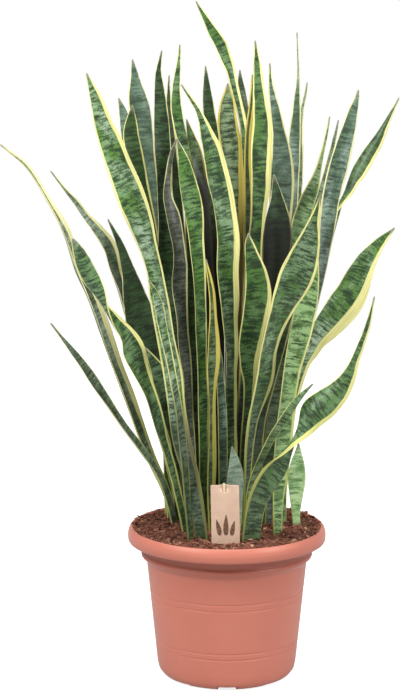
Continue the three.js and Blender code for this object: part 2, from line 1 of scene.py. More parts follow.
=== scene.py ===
# Looks of a potted snake plant with yellow leaf margins, built around its CAD frame.
# Shapes are worked out in millimetres in the frame's axes: +Z up, the front towards -Y.
import math
import bpy
import numpy as np
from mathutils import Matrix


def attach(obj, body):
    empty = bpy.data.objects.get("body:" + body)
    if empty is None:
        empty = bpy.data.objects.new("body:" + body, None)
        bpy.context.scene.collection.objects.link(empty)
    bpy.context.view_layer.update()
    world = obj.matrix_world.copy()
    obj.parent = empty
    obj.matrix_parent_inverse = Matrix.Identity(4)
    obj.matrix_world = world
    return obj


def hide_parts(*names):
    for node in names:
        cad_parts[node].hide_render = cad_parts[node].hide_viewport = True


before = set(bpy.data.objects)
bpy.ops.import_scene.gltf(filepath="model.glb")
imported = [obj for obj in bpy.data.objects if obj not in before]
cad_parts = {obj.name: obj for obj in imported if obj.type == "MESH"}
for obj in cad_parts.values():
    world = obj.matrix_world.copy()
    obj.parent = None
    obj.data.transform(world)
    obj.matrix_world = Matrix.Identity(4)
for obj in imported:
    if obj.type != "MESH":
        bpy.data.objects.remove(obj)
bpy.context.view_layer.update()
scene = bpy.context.scene


def linear(hexColour):
    # one sRGB hex colour as linear red, green, blue and alpha
    parts = [int(hexColour[i:i + 2], 16) / 255 for i in (1, 3, 5)]
    return tuple(c / 12.92 if c < 0.04045 else ((c + 0.055) / 1.055) ** 2.4 for c in parts) + (1,)


def addNode(tree, kind, inputs=None, output=0, **options):
    # one node: options are its settings, inputs are sockets to link or values to set by name or place
    node = tree.nodes.new("ShaderNode" + kind)
    for key, value in options.items():
        setattr(node, key, value)
    for key, value in (inputs or {}).items():
        if isinstance(value, bpy.types.NodeSocket):
            tree.links.new(value, node.inputs[key])
        else:
            node.inputs[key].default_value = value
    return node.outputs[output] if node.outputs else node


def newMaterial(name):
    material = bpy.data.materials.new(name)
    material.use_nodes = True
    material.node_tree.nodes.clear()
    return material, material.node_tree


def gridFaces(rows, columns, wrap):
    # quads of a grid of rows x columns points; wrap joins the last column to the first
    last = columns if wrap else columns - 1
    r, c = np.meshgrid(np.arange(rows - 1), np.arange(last), indexing="ij")
    a = r * columns + c
    b = r * columns + (c + 1) % columns
    return np.stack([a, b, b + columns, a + columns], axis=-1).reshape(-1, 4)


def makePiece(name, points, quads, caps, material, replaced=(), attributes=None, smooth=True):
    # points in millimetres; quads as an array, caps as lists of point numbers
    mesh = bpy.data.meshes.new(name)
    mesh.from_pydata((points / 1000).tolist(), [], quads.tolist() + [list(c) for c in caps])
    mesh.polygons.foreach_set("use_smooth", np.full(len(mesh.polygons), smooth))
    for key, values in (attributes or {}).items():
        data = mesh.attributes.new(key, "FLOAT_VECTOR", "POINT").data
        data.foreach_set("vector", np.asarray(values, np.float32).ravel())
    mesh.materials.append(material)
    mesh.update()
    piece = bpy.data.objects.new(name, mesh)
    scene.collection.objects.link(piece)
    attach(piece, "root")
    for node in replaced:
        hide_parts(node)
    return piece


def cutAway(piece, cutter):
    # takes the cutter's shape out of the piece and removes the cutter
    cut = piece.modifiers.new("cut", "BOOLEAN")
    cut.operation = "DIFFERENCE"
    cut.object = cutter
    bpy.context.view_layer.objects.active = piece
    bpy.ops.object.modifier_apply(modifier=cut.name)
    bpy.data.objects.remove(cutter)


print("frame loaded:", len(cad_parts), "nodes")

# The photograph's view: the same eye places the leaves, as in the part's source.
view = {"lookDown": 10, "eyeDistance": 3550, "sightX": -39.75, "sightUp": 489, "mmPerPixel": 1.5,
        "sensor": 36, "pixelsHigh": 690}

lookDown = math.radians(view["lookDown"])
planeUp = np.array([0, math.sin(lookDown), math.cos(lookDown)])
sight = np.array([0, math.cos(lookDown), -math.sin(lookDown)])
eye = np.array([view["sightX"], 0, 0]) + view["sightUp"] * planeUp - view["eyeDistance"] * sight

cameraData = bpy.data.cameras.new("camera")
cameraData.lens = view["sensor"] * view["eyeDistance"] / view["mmPerPixel"] / view["pixelsHigh"]
cameraData.clip_end = 50
camera = bpy.data.objects.new("camera", cameraData)
camera.location = eye / 1000
camera.rotation_euler = (math.pi / 2 - lookDown, 0, 0)
scene.collection.objects.link(camera)
scene.camera = camera

# Plain white studio: an even white surround, a large soft light up on the left and smaller ones on
# the right and above, over a white floor that hardly shows where it ends.
studio = {
    "surround": 0.5, "backdrop": 1.0, "aim": (0, 0, 0.5),
    "lights": {"key": ((-2.2, -1.9, 2.8), 1.3, 90), "fill": ((2.4, -1.6, 2.1), 1.2, 52),
               "top": ((0.1, -0.6, 3.3), 1.0, 46)},  # place, side length, power
    "floorSize": 6, "floorGlow": 0.8,
}

scene.view_settings.view_transform = "Standard"
world = bpy.data.worlds.new("surround")
world.use_nodes = True
world.node_tree.nodes.clear()
seen = addNode(world.node_tree, "LightPath")
strength = addNode(world.node_tree, "MapRange", {0: seen, 3: studio["surround"], 4: studio["backdrop"]})
surround = addNode(world.node_tree, "Background", {"Color": (1, 1, 1, 1), "Strength": strength})
addNode(world.node_tree, "OutputWorld", {"Surface": surround})
scene.world = world

for side, (place, size, power) in studio["lights"].items():
    lightData = bpy.data.lights.new(side + "Light", "AREA")
    lightData.energy = power
    lightData.size = size
    light = bpy.data.objects.new(side + "Light", lightData)
    light.location = place
    aimed = np.array(place) - np.array(studio["aim"])
    flat = math.hypot(aimed[0], aimed[1])
    light.rotation_euler = (math.atan2(flat, aimed[2]), 0, math.atan2(aimed[0], -aimed[1]))
    scene.collection.objects.link(light)

# Painted white studio floor lit from below: matt, so it gives no reflection of the pot, and so bright
# that only a trace of the pot's shadow shows.
floorMaterial, floorTree = newMaterial("paintedStudioFloor")
floorCoords = addNode(floorTree, "TexCoord", output=3)
floorGrain = addNode(floorTree, "TexNoise", {"Vector": floorCoords, "Scale": 40.0, "Detail": 2.0})
floorColour = addNode(floorTree, "Mix", {0: floorGrain, 6: linear("#C4C4C4"), 7: linear("#CACACA")}, 2,
                      data_type="RGBA")
floorSeen = addNode(floorTree, "LightPath")
floorGlow = addNode(floorTree, "MapRange", {0: floorSeen, 3: 0.0, 4: studio["floorGlow"]})
floorShader = addNode(floorTree, "BsdfPrincipled", {"Base Color": floorColour, "Roughness": 0.9,
                                                    "Emission Color": (1, 1, 1, 1),
                                                    "Emission Strength": floorGlow})
addNode(floorTree, "OutputMaterial", {"Surface": floorShader})

half = studio["floorSize"] / 2
floorMesh = bpy.data.meshes.new("floor")
floorMesh.from_pydata([(-half, -half, 0), (half, -half, 0), (half, half, 0), (-half, half, 0)], [],
                      [(0, 1, 2, 3)])
floorMesh.materials.append(floorMaterial)
floor = bpy.data.objects.new("floor", floorMesh)
scene.collection.objects.link(floor)
print("camera, lights and floor set")

# The leaves, as in the part's source, but leaf_left_low slimmer than its solid: (base x, base y),
# depth y of the tip, cup, and rows of (x seen, z seen, width, turn in degrees) from base to tip.
leaves = {
    "leaf_left_low": ((-78, 8), -40, 0.22,
        [(-89, 260, 14, 50), (-105.5, 300, 14, 54), (-134, 340, 17, 56), (-163.5, 380, 15.5, 57),
         (-190, 420, 18.5, 45), (-213, 455, 13.5, 30), (-227.5, 475, 10, 20), (-247, 500, 5, 10),
         (-264, 522, 2, 0)]),
    "leaf_left_far": ((-84, 50), 40, 0.3,
        [(-89, 262, 14, 35), (-115, 320, 18, 46), (-137, 380, 22, 48), (-159.5, 440, 25, 52),
         (-181.5, 500, 27, 55), (-203, 560, 25, 56), (-223, 600, 19, 70), (-242, 660, 17, 50),
         (-267, 705, 9, 50), (-299, 756, 7, 30), (-340, 790, 2, 0)]),
    "leaf_left_twisted": ((-61, -38), -100, 0.18,
        [(-73, 262, 16, 50), (-82, 300, 18, 50), (-94, 340, 22, 58), (-105, 380, 26, 50),
         (-118, 420, 29, 53), (-134, 460, 35, 38), (-141, 482, 35, 18), (-151, 502, 33, 45),
         (-166, 522, 31, 62), (-183, 548, 29, 90), (-200, 580, 27, 150), (-211, 602, 25, 165),
         (-219, 622, 20, 175), (-227, 640, 10, 180), (-231, 649, 2, 180)]),
    "leaf_left_inner": ((-73, 24), 0, 0.2,
        [(-78, 330, 20, 50), (-84, 360, 24, 55), (-92, 400, 29, 40), (-95, 422, 30, 20),
         (-100, 442, 27, 15), (-109, 462, 17, 10), (-124, 487, 2, 0)]),
    "leaf_left_slim": ((-70, 70), 95, 0.24,
        [(-88, 320, 18, 40), (-108, 400, 22, 50), (-132, 480, 24, 55), (-156, 563, 25, 60),
         (-167, 600, 25, 45), (-174, 630, 23, 30), (-182, 646, 21, 20), (-193, 661, 17, 15),
         (-212, 684, 11, 10), (-225, 702, 9, 10), (-241, 721, 5, 0), (-264, 750, 2, 0)]),
    "leaf_left_dark": ((-62, 52), 40, 0.1,
        [(-80, 350, 30, 10), (-98, 430, 42, 5), (-120, 500, 47, 10), (-127, 520, 47, 5),
         (-138, 560, 38, 20), (-148, 600, 22, 25), (-160, 640, 11, 10), (-178, 678, 2, 0)]),
    "leaf_left_front": ((-36, -92), -60, 0.18,
        [(-42, 240, 21, -15), (-51, 290, 26, -28), (-66, 355, 38, -48), (-76, 440, 44, -54),
         (-87, 500, 47, -57), (-97, 560, 48, -59), (-103.5, 600, 47, -61), (-115, 640, 46, -56),
         (-126.5, 676, 46, -38), (-141.5, 712, 44, -22), (-160, 760, 39, -22), (-171, 790, 36, -20),
         (-184, 822, 27, -15), (-196, 860, 17, -8), (-210, 897, 2, 0)]),
    "leaf_left_narrow": ((-54, -94), -170, 0.26,
        [(-60, 260, 13, 50), (-65, 320, 17, 52), (-75, 400, 20, 60), (-91, 480, 21, 60),
         (-98.5, 520, 18, 46), (-101.5, 542, 15, 28), (-106, 564, 9, 10), (-117, 587, 2, 0)]),
    "leaf_rear_left_a": ((-52, 62), 70, 0.12,
        [(-70, 320, 20, 20), (-87, 450, 26, 20), (-106, 600, 27, 25), (-126, 700, 30, 25),
         (-136, 760, 28, 25), (-143, 800, 24, 0), (-143, 822, 18, 0), (-141, 849, 2, 0)]),
    "leaf_rear_left_b": ((-60, 94), 200, 0.12,
        [(-74, 320, 18, 30), (-88, 450, 22, 30), (-106, 600, 22, 30), (-125, 690, 25, 25),
         (-140, 750, 26, 20), (-148, 805, 22, 10), (-155, 838, 13, 0), (-162, 860, 2, 0)]),
    "leaf_rear_left_c": ((-44, 82), 125, 0.12,
        [(-63, 300, 19, -10), (-82, 450, 29, -12), (-99, 600, 36, -10), (-119, 700, 40, -10),
         (-128, 780, 41, -8), (-130, 838, 33, 0), (-134, 862, 27, 0), (-137, 885, 16, 0),
         (-141, 918, 2, 0)]),
    "leaf_left_upright": ((-44, 34), 44, 0.14,
        [(-58, 300, 22, 20), (-78, 450, 28, 20), (-91, 590, 29, 22), (-93, 680, 27, 38),
         (-94.5, 740, 27, 32), (-97, 800, 25, 15), (-98.5, 842, 20, 0), (-101, 880, 13, 0),
         (-102, 900, 8, 0), (-97, 931, 2, 0)]),
    "leaf_rear_pale": ((-34, 46), 100, 0.14,
        [(-41, 350, 18, 20), (-49, 500, 20, 25), (-54, 650, 20, 25), (-57, 740, 20, 20),
         (-65, 790, 18, 10), (-72, 822, 17, 0), (-76, 850, 16, 0), (-75, 880, 11, 0), (-71, 920, 5, 0),
         (-70, 940, 2, 0)]),
    "leaf_centre_bright": ((-36, 2), -20, 0.16,
        [(-36, 320, 18, 48), (-36, 400, 22, 45), (-39, 480, 24, 52), (-41, 560, 26, 48),
         (-46, 640, 28, 40), (-49, 680, 30, 28), (-54, 710, 29, 15), (-60, 742, 23, 8),
         (-64, 765, 16, 0), (-74, 798, 2, 0)]),
    "leaf_centre_wavy": ((-48, -22), 36, 0.2,
        [(-55, 340, 20, 55), (-60, 430, 22, 55), (-64, 470, 26, 52), (-70, 540, 28, 50),
         (-73, 585, 30, 42), (-72, 610, 30, 45), (-74, 640, 28, 50), (-82, 680, 26, 40),
         (-90, 712, 20, 50), (-88, 750, 14, 60), (-83, 775, 8, 40), (-75, 798, 2, 0)]),
    "leaf_rear_thin": ((-28, 72), 150, 0.2,
        [(-46, 350, 16, 40), (-64, 520, 17, 40), (-72, 680, 18, 40), (-79, 750, 17, 40),
         (-82, 800, 13, 30), (-87, 850, 8, 20), (-86, 894, 2, 0)]),
    "leaf_rear_cream": ((-18, 48), 70, 0.16,
        [(-18, 350, 16, 35), (-22, 500, 18, 35), (-28, 620, 18, 35), (-34, 710, 17, 35),
         (-39, 740, 18, 30), (-46.5, 780, 18, 0), (-53, 802, 12, 0), (-60, 828, 2, 0)]),
    "leaf_centre_front": ((4, 26), 10, 0.12,
        [(6, 320, 22, 35), (5, 400, 26, 48), (6, 480, 30, 52), (4, 540, 33, 42), (1, 600, 35, 20),
         (2, 650, 34, 18), (-4, 700, 33, 15), (-13, 740, 34, 10), (-21, 780, 28, 8),
         (-28, 800, 22, 10), (-35, 822, 14, 10), (-43.5, 842, 8, 20), (-52, 856, 6, 0),
         (-68, 880, 2, 0)]),
    "leaf_label_left": ((-22, -36), -70, 0.2,
        [(-24, 260, 13, 35), (-23, 300, 15, 30), (-23, 360, 17, 55), (-23, 420, 19, 50),
         (-21, 470, 22, 35), (-21, 500, 21, 40), (-21, 530, 16, 50), (-23, 570, 11, 40),
         (-31, 618, 2, 0)]),
    "leaf_label_back": ((-6, -2), -20, 0.16,
        [(-6, 280, 14, 30), (-6, 340, 16, 30), (-8, 400, 16, 35), (-10, 440, 13, 35),
         (-11, 470, 9, 20), (-15, 505, 2, 0)]),
    "leaf_sucker_front": ((9, -38), -46, 0.12,
        [(12, 250, 24, 0), (13, 280, 26, 5), (13, 300, 22, 5), (11, 320, 13, 5), (8, 337, 2, 0)]),
    "leaf_rear_centre_a": ((-14, 72), 90, 0.14,
        [(-14, 350, 22, 20), (-17, 550, 27, 20), (-19, 700, 26, 20), (-23, 800, 24, 10),
         (-26.5, 840, 18, 0), (-29.5, 872, 12, 0), (-31.5, 908, 2, 0)]),
    "leaf_rear_centre_b": ((-2, 86), 150, 0.14,
        [(6, 350, 20, 15), (10, 550, 30, 15), (9, 700, 36, 20), (6, 780, 36, 15), (2, 815, 32, 0),
         (1, 840, 26, 0), (2, 860, 18, 0), (2, 882, 2, 0)]),
    "leaf_tallest": ((20, 98), 190, 0.2,
        [(30, 380, 18, 40), (36, 560, 20, 45), (32, 700, 20, 50), (27, 780, 18, 50),
         (23.5, 820, 17, 48), (14.5, 860, 17, 50), (5, 900, 18, 40), (-2, 920, 18, 15),
         (-9, 940, 18, 0), (-21, 960, 15, 0), (-32, 980, 9, 0), (-46, 1005, 2, 0)]),
    "leaf_rear_purple": ((36, 108), 235, 0.16,
        [(36, 380, 14, 40), (40, 600, 16, 45), (36, 780, 15, 50), (29, 840, 12, 45), (25, 862, 11, 30),
         (21, 884, 8, 0), (20, 902, 2, 0)]),
    "leaf_right_tall": ((14, 52), 60, 0.14,
        [(22, 350, 20, 25), (34, 500, 28, 25), (40, 620, 32, 35), (46, 680, 31, 45), (49, 720, 33, 35),
         (51, 780, 33, 25), (53, 820, 28, 12), (50, 850, 22, 10), (48, 880, 16, 0), (46, 910, 11, 0),
         (43, 946, 2, 0)]),
    "leaf_rear_golden": ((18, 78), 100, 0.2,
        [(22, 400, 16, 40), (30, 600, 20, 45), (32, 700, 22, 50), (32, 800, 20, 55), (37, 850, 14, 55),
         (39, 872, 9, 30), (39, 895, 2, 0)]),
    "leaf_right_blue": ((40, 72), 105, 0.14,
        [(54, 400, 20, 20), (70, 580, 30, 20), (80, 690, 38, 20), (82, 740, 38, 15),
         (81.5, 775, 31, 10), (78, 808, 22, 0), (73, 840, 16, 0), (67, 875, 9, 0), (65, 912, 2, 0)]),
    "leaf_right_folded": ((34, 34), 15, 0.24,
        [(46, 400, 26, 30), (60, 520, 36, 30), (70, 600, 42, 25), (75, 645, 44, 10), (76, 680, 36, 10),
         (75, 710, 19, 10), (71, 745, 2, 0)]),
    "leaf_rear_right_a": ((48, 86), 160, 0.14,
        [(66, 400, 18, 20), (88, 600, 24, 20), (98, 740, 22, 20), (102, 800, 18, 10),
         (104.5, 835, 14, 0), (106.7, 870, 8, 0), (107.7, 900, 4, 0), (105.7, 958, 2, 0)]),
    "leaf_rear_right_b": ((64, 94), 225, 0.14,
        [(74, 400, 18, 20), (94, 600, 21, 20), (104, 730, 20, 20), (107, 780, 17, 0),
         (109, 815, 12, 0), (114, 845, 6, 0), (119, 868, 4, 0), (121, 883, 2, 0)]),
    "leaf_right_behind": ((52, 50), 70, 0.16,
        [(66, 360, 20, 20), (84, 480, 28, 20), (98, 580, 31, 20), (108, 660, 30, 25),
         (118, 700, 28, 30), (127, 722, 24, 30), (135, 745, 13, 30), (143.5, 778, 6, 30),
         (150, 806, 4, 20), (155, 832, 2, 0)]),
    "leaf_back_a": ((-24, 104), 255, 0.12,
        [(-28, 400, 22, 10), (-30, 520, 28, 5), (-34, 620, 26, 0), (-36, 690, 14, 0),
         (-38, 740, 2, 0)]),
    "leaf_back_b": ((0, 111), 270, 0.12,
        [(8, 400, 22, -10), (14, 540, 28, -5), (18, 640, 24, 0), (21, 700, 12, 0), (24, 750, 2, 0)]),
    "leaf_back_c": ((-86, 70), 138, 0.12,
        [(-93, 400, 16, 15), (-113, 500, 22, 10), (-130, 560, 18, 0), (-147, 605, 2, 0)]),
    "leaf_back_d": ((79, 76), 230, 0.12,
        [(96, 400, 20, 20), (116, 520, 26, 15), (126, 590, 22, 10), (132, 640, 10, 0),
         (136, 680, 2, 0)]),
    "leaf_rear_right_c": ((62, 76), 140, 0.16,
        [(82, 400, 13, 30), (112, 580, 15, 30), (134, 690, 14, 30), (147, 740, 10, 30),
         (157, 778, 7, 20), (163, 803, 5, 0), (168, 827, 2, 0)]),
    "leaf_right_arching": ((60, 8), 38, 0.14,
        [(66, 270, 16, 40), (77, 320, 19, 40), (98, 430, 26, 45), (122, 530, 28, 50),
         (139, 600, 29, 58), (145, 640, 30, 50), (151, 680, 31, 33), (156, 715, 31, 30),
         (165, 750, 32, 30), (176, 790, 28, 25), (184.5, 820, 20, 15), (190, 842, 14, 10),
         (195, 858, 8, 0), (198, 872, 2, 0)]),
    "leaf_right_far": ((82, 58), 125, 0.18,
        [(90, 350, 17, 62), (108, 460, 22, 68), (131, 560, 26, 74), (143, 610, 28, 72),
         (152.5, 650, 28, 75), (163, 682, 26, 74), (174, 706, 26, 94), (182, 720, 24, 120),
         (188, 733, 22, 138), (197, 749, 26, 150), (210, 771, 24, 155), (226, 795, 18, 160),
         (239, 820, 10, 165), (250, 842, 5, 180), (259, 860, 2, 180)]),
    "leaf_right_long_front": ((28, -10), -140, 0.1,
        [(32, 320, 18, 50), (38, 370, 22, 50), (48, 410, 32, 50), (57, 445, 37, 48), (62, 480, 42, 56),
         (70, 514, 46, 57), (84, 548, 50, 45), (96.5, 575, 50, 27), (105, 595, 50, 15),
         (114, 618, 45, 12), (123, 645, 33, 10), (130, 672, 17, 10), (136, 694, 8, 10),
         (140, 712, 2, 0)]),
    "leaf_right_short_broad": ((20, 14), -15, 0.12,
        [(28, 340, 18, 30), (34, 430, 22, 35), (33, 460, 29, 25), (36, 490, 37, 15), (43, 530, 39, 10),
         (47, 565, 39, 10), (45, 595, 32, 0), (39, 620, 22, 0), (34, 642, 13, 0), (33, 657, 2, 0)]),
    "leaf_right_low_arching": ((84, 12), -54, 0.12,
        [(87, 300, 13, 60), (93.5, 350, 17, 68), (99.5, 390, 20, 72), (106, 425, 22, 66),
         (116.5, 460, 25, 53), (125, 478, 31, 42), (134.5, 497, 35, 34), (153.5, 521, 43, 20),
         (173, 545, 48, 8), (186, 563, 46, 0), (198, 590, 39, 0), (212, 618, 28, 0), (230, 642, 16, 0),
         (252.6, 665, 2, 0)]),
    "leaf_right_light": ((73, -54), -66, 0.16,
        [(76, 240, 16, 30), (79, 290, 23, 30), (84, 350, 27, 30), (90, 400, 26, 30), (97, 450, 27, 25),
         (109, 500, 32, 15), (118, 545, 33, 15), (124, 580, 28, 10), (130, 615, 16, 0),
         (134, 642, 2, 0)]),
    "leaf_right_front_twisted": ((33, -90), -150, 0.2,
        [(41, 236, 28, 5), (48, 262, 29, 12), (62, 288, 33, 18), (76, 308, 33, 30), (88, 326, 28, 65),
         (99, 342, 27, 95), (108, 355, 29, 125), (117, 369, 34, 148), (130, 388, 43, 166),
         (148.5, 401.5, 41, 175), (168, 419, 32, 182), (184, 442, 21, 188), (193.5, 466, 13, 190),
         (204.5, 495, 10, 190), (213, 521, 7, 190), (222, 562, 2, 190)]),
    "leaf_right_low": ((29, -34), -120, 0.16,
        [(33, 265, 11, 50), (40, 293, 12, 50), (53, 322, 13, 45), (70, 355, 14, 40), (90, 385, 13, 30),
         (108, 409, 9, 10), (130, 431, 2, 0)]),
    "leaf_right_hidden": ((43, 0), -30, 0.14,
        [(46, 320, 18, 35), (50, 380, 20, 30), (59, 425, 24, 30), (68, 460, 26, 25), (78, 500, 26, 20),
         (92, 535, 16, 10), (108, 562, 2, 0)]),
    "leaf_sucker_right": ((104, 10), 30, 0.12,
        [(104, 238, 13, 10), (104.5, 262, 20, 0), (105.5, 287, 26, 0), (106.5, 311, 21, 0),
         (107.5, 327, 11, 0), (108, 342, 2, 0)]),
}


# The pot: an injection-moulded terracotta-coloured container pot with a rolled rim.
pot = {
    "sides": 240, "wall": 3, "footRadius": 103.2, "topRadius": 118.8, "footHeight": 21, "topHeight": 173.5,
    "ridgeRadius": 127, "neckRadius": 124, "rimRadius": 146.3, "rimTop": 225.5, "rimInnerRadius": 137,
    "grooves": (49, 58, 124, 134), "grooveDepth": 1.0, "grooveHalf": 2.0,
    "grooveShape": ((-1, 0), (-0.55, 0.35), (0, 1), (0.55, 0.35), (1, 0)),  # shares of half and depth
    "cornerRadius": 2.2, "cornerSteps": 5,
    "ringRadius": 88, "notches": 8, "notchWidth": 27, "notchHeight": 3.8, "mainNotchHeight": 6,
    "notchFrom": 74, "notchEdges": (-0.001, 0.003), "notchClear": 0.012,  # mm, then radians
    "drains": 5, "drainRadius": 5, "drainCircle": 55,
    # how much painted shade darkens the plastic at each height in mm under the rim, and the ramp's upper end
    "paintedRimShade": ((125, 0.0), (172, 0.2), (183, 0.45), (203.5, 0.5), (206, 0.26), (217, 0.0)),
    "paintedRimShadeTop": 250,
}


def rounded(corners, radius, steps):
    # a profile line with each corner rounded: the arc is the quadratic curve from a point before the
    # corner to one after it, at most the radius or 0.4 of the shorter side away
    points = [corners[0]]
    for before, corner, after in zip(corners[:-2], corners[1:-1], corners[2:]):
        first = before - corner
        second = after - corner
        reach = min(radius, 0.4 * np.hypot(*first), 0.4 * np.hypot(*second))
        start = corner + first / np.hypot(*first) * reach
        end = corner + second / np.hypot(*second) * reach
        u = np.linspace(0, 1, steps)[:, None]
        points.extend((1 - u) ** 2 * start + 2 * u * (1 - u) * corner + u ** 2 * end)
    points.append(corners[-1])
    return np.array(points)


def bodyRadius(z):
    share = (z - pot["footHeight"]) / (pot["topHeight"] - pot["footHeight"])
    return pot["footRadius"] + (pot["topRadius"] - pot["footRadius"]) * share


def potProfile():
    # [radius, height] from the middle of the underside round the outside, over the rim and down inside
    wall, neck, ridge = pot["wall"], pot["neckRadius"], pot["ridgeRadius"]
    rim, top, mouth = pot["rimRadius"], pot["rimTop"], pot["rimInnerRadius"]
    half, deep = pot["grooveHalf"], pot["grooveDepth"]
    under = [(0, 0), (32, 0), (35, 3.6), (76, 3.6), (79, 0), (pot["ringRadius"], 0),
             (95.6, 3.6), (101.2, 11)]
    body = [(bodyRadius(z), z) for z in (pot["footHeight"], 30, 40)]
    for z in pot["grooves"]:
        body += [(bodyRadius(z + h * half) - deep * d, z + h * half) for h, d in pot["grooveShape"]]
        body += [(bodyRadius(z + h), z + h) for h in (3.4, 4.2)]
    body += [(bodyRadius(z), z) for z in (150, 165, pot["topHeight"])]
    upper = [(120.2, 177), (124, 179.6), (ridge, 182.4), (ridge, 186.6), (neck + 0.6, 189.6), (neck, 192),
             (neck, 202), (126.4, 208), (130.5, 215), (mouth, 220.3), (142.5, 216), (143.2, 204.2),
             (144.8, 204), (rim, 206.5), (rim + 0.6, 214), (rim - 0.4, 219.4), (144.3, 222.9),
             (142.6, top), (139.6, top), (mouth, 223.3), (neck + 3.4, 215.2), (neck - wall, 203)]
    inside = [(neck - wall, 186), (pot["topRadius"] - wall, 172),
              (pot["footRadius"] - wall, pot["footHeight"]), (94.4, 9), (89, 7), (0, 7)]
    body.sort(key=lambda p: p[1])
    corners = np.array(under + body + upper + inside, float)
    return rounded(corners, pot["cornerRadius"], pot["cornerSteps"])


def potPiece():
    # a profile turned about Z: (r cos a, r sin a, z); the foot ring's low points rise in the notches,
    # which have columns of their own just inside and outside each edge and no others close by
    profile = potProfile()
    half = pot["notchWidth"] / 2 / pot["ringRadius"]
    centres = -math.pi / 2 + np.arange(pot["notches"]) / pot["notches"] * 2 * math.pi
    even = np.arange(pot["sides"]) / pot["sides"] * 2 * math.pi - math.pi / 2
    away = np.abs((even[:, None] - centres + math.pi) % (2 * math.pi) - math.pi).min(axis=1)
    even = even[np.abs(away - half) > pot["notchClear"]]
    edges = np.concatenate([centres + s * (half + e) for s in (-1, 1) for e in pot["notchEdges"]])
    angles = np.sort((np.concatenate([even, edges]) + math.pi) % (2 * math.pi) - math.pi)
    away = np.abs((angles[:, None] - centres + math.pi) % (2 * math.pi) - math.pi).min(axis=1)
    ring = profile[profile[:, 0] > 0.01]
    radius = np.repeat(ring[:, :1], len(angles), axis=1)
    height = np.repeat(ring[:, 1:], len(angles), axis=1)
    outside = (np.arange(len(ring)) < len(ring) / 3)[:, None]
    inNotch = (away[None, :] <= half) & (radius > pot["notchFrom"]) & outside
    lift = np.where(np.abs(np.sin(2 * angles)) < 0.5, pot["mainNotchHeight"], pot["notchHeight"])
    height = np.where(inNotch, np.maximum(height, lift), height)
    points = np.stack([radius * np.cos(angles), radius * np.sin(angles), height], axis=-1).reshape(-1, 3)
    quads = gridFaces(len(ring), len(angles), True)
    caps = [range(len(angles))[::-1], range(len(points) - len(angles), len(points))]
    return makePiece("pot_shell", points, quads, caps, potPlastic(), ["pot"])


def potPlastic():
    # Polypropylene, injection moulded and coloured like terracotta: an even satin brown-pink with a
    # faint flow mottle and fine scuffs, toned darker under the rim by painted shade, with a film of
    # dust that pales it at a glancing look.
    material, tree = newMaterial("mouldedPolypropylene")
    coords = addNode(tree, "TexCoord", output=3)
    flow = addNode(tree, "TexNoise", {"Vector": coords, "Scale": 9.0, "Detail": 3.0, "Roughness": 0.5})
    grain = addNode(tree, "TexNoise", {"Vector": coords, "Scale": 600.0, "Detail": 2.0})
    base = addNode(tree, "Mix", {0: flow, 6: linear("#BE6B57"), 7: linear("#C87864")}, 2, data_type="RGBA")
    speck = addNode(tree, "MapRange", {0: grain, 1: 0.35, 2: 0.65, 3: 0.0, 4: 0.12})
    colour = addNode(tree, "Mix", {0: speck, 6: base, 7: linear("#D08772")}, 2, data_type="RGBA")
    # painted shade under the rim: a ramp by height mixes a darker brown into the plastic's colour
    height = addNode(tree, "SeparateXYZ", {0: coords}, 2)
    perMetre = 1000 / pot["paintedRimShadeTop"]
    upRamp = addNode(tree, "Math", {0: height, 1: perMetre}, operation="MULTIPLY")
    paintedRimShade = addNode(tree, "ValToRGB", {0: upRamp})
    stops = paintedRimShade.node.color_ramp.elements
    for up, share in pot["paintedRimShade"]:
        stops.new(up / 1000 * perMetre).color = (share, share, share, 1)
    stops[0].color = stops[-1].color = (0, 0, 0, 1)
    colour = addNode(tree, "Mix", {0: paintedRimShade, 6: colour, 7: linear("#7A3626")}, 2, data_type="RGBA")
    rough = addNode(tree, "MapRange", {0: flow, 1: 0.3, 2: 0.7, 3: 0.36, 4: 0.46})
    bump = addNode(tree, "Bump", {"Strength": 0.12, "Distance": 0.0004, "Height": grain})
    shader = addNode(tree, "BsdfPrincipled", {"Base Color": colour, "Roughness": rough, "Normal": bump,
                                             "IOR": 1.49, "Sheen Weight": 0.22, "Sheen Roughness": 0.35})
    addNode(tree, "OutputMaterial", {"Surface": shader})
    return material


def cutDrains(piece):
    # round holes through the bottom, cut with one Boolean each
    for i in range(pot["drains"]):
        angle = i / pot["drains"] * 2 * math.pi
        x, y = (pot["drainCircle"] * f(angle) / 1000 for f in (math.cos, math.sin))
        bpy.ops.mesh.primitive_cylinder_add(vertices=32, radius=pot["drainRadius"] / 1000, depth=0.03,
                                            location=(x, y, 0.005))
        cutAway(piece, bpy.context.object)


potShell = potPiece()
cutDrains(potShell)
print("pot done:", len(potShell.data.polygons), "faces")

# The compost: coarse bark and coir, filled up to the rim, with loose chips and fibres on top.
soil = {
    "edge": 136.2, "edgeHeight": 222.6, "mound": 2.6, "rings": 84, "sectors": 280,
    "lumps": ((24, 2.2), (9, 1.6), (4, 0.8)),  # size across and height, both in mm
    "chips": 6200, "chipLength": (3, 13), "chipTilt": 0.42, "seed": 11,
    "chipWidth": (0.25, 0.75), "chipHeight": (0.1, 0.34), "chipCorners": (-0.38, 0.2),  # shares of length
    "fibres": 900, "fibreLength": (9, 26), "fibreRadius": (0.18, 0.42), "fibreBow": (0.5, 3.2),
    "gathered": 0.16, "gatherWidth": 11, "heap": 4,  # share of chips round the leaves, spread, height
    "spill": 1.035, "rimHeight": 225.2,  # a few chips lie out on the rim: their reach squared, its height
}


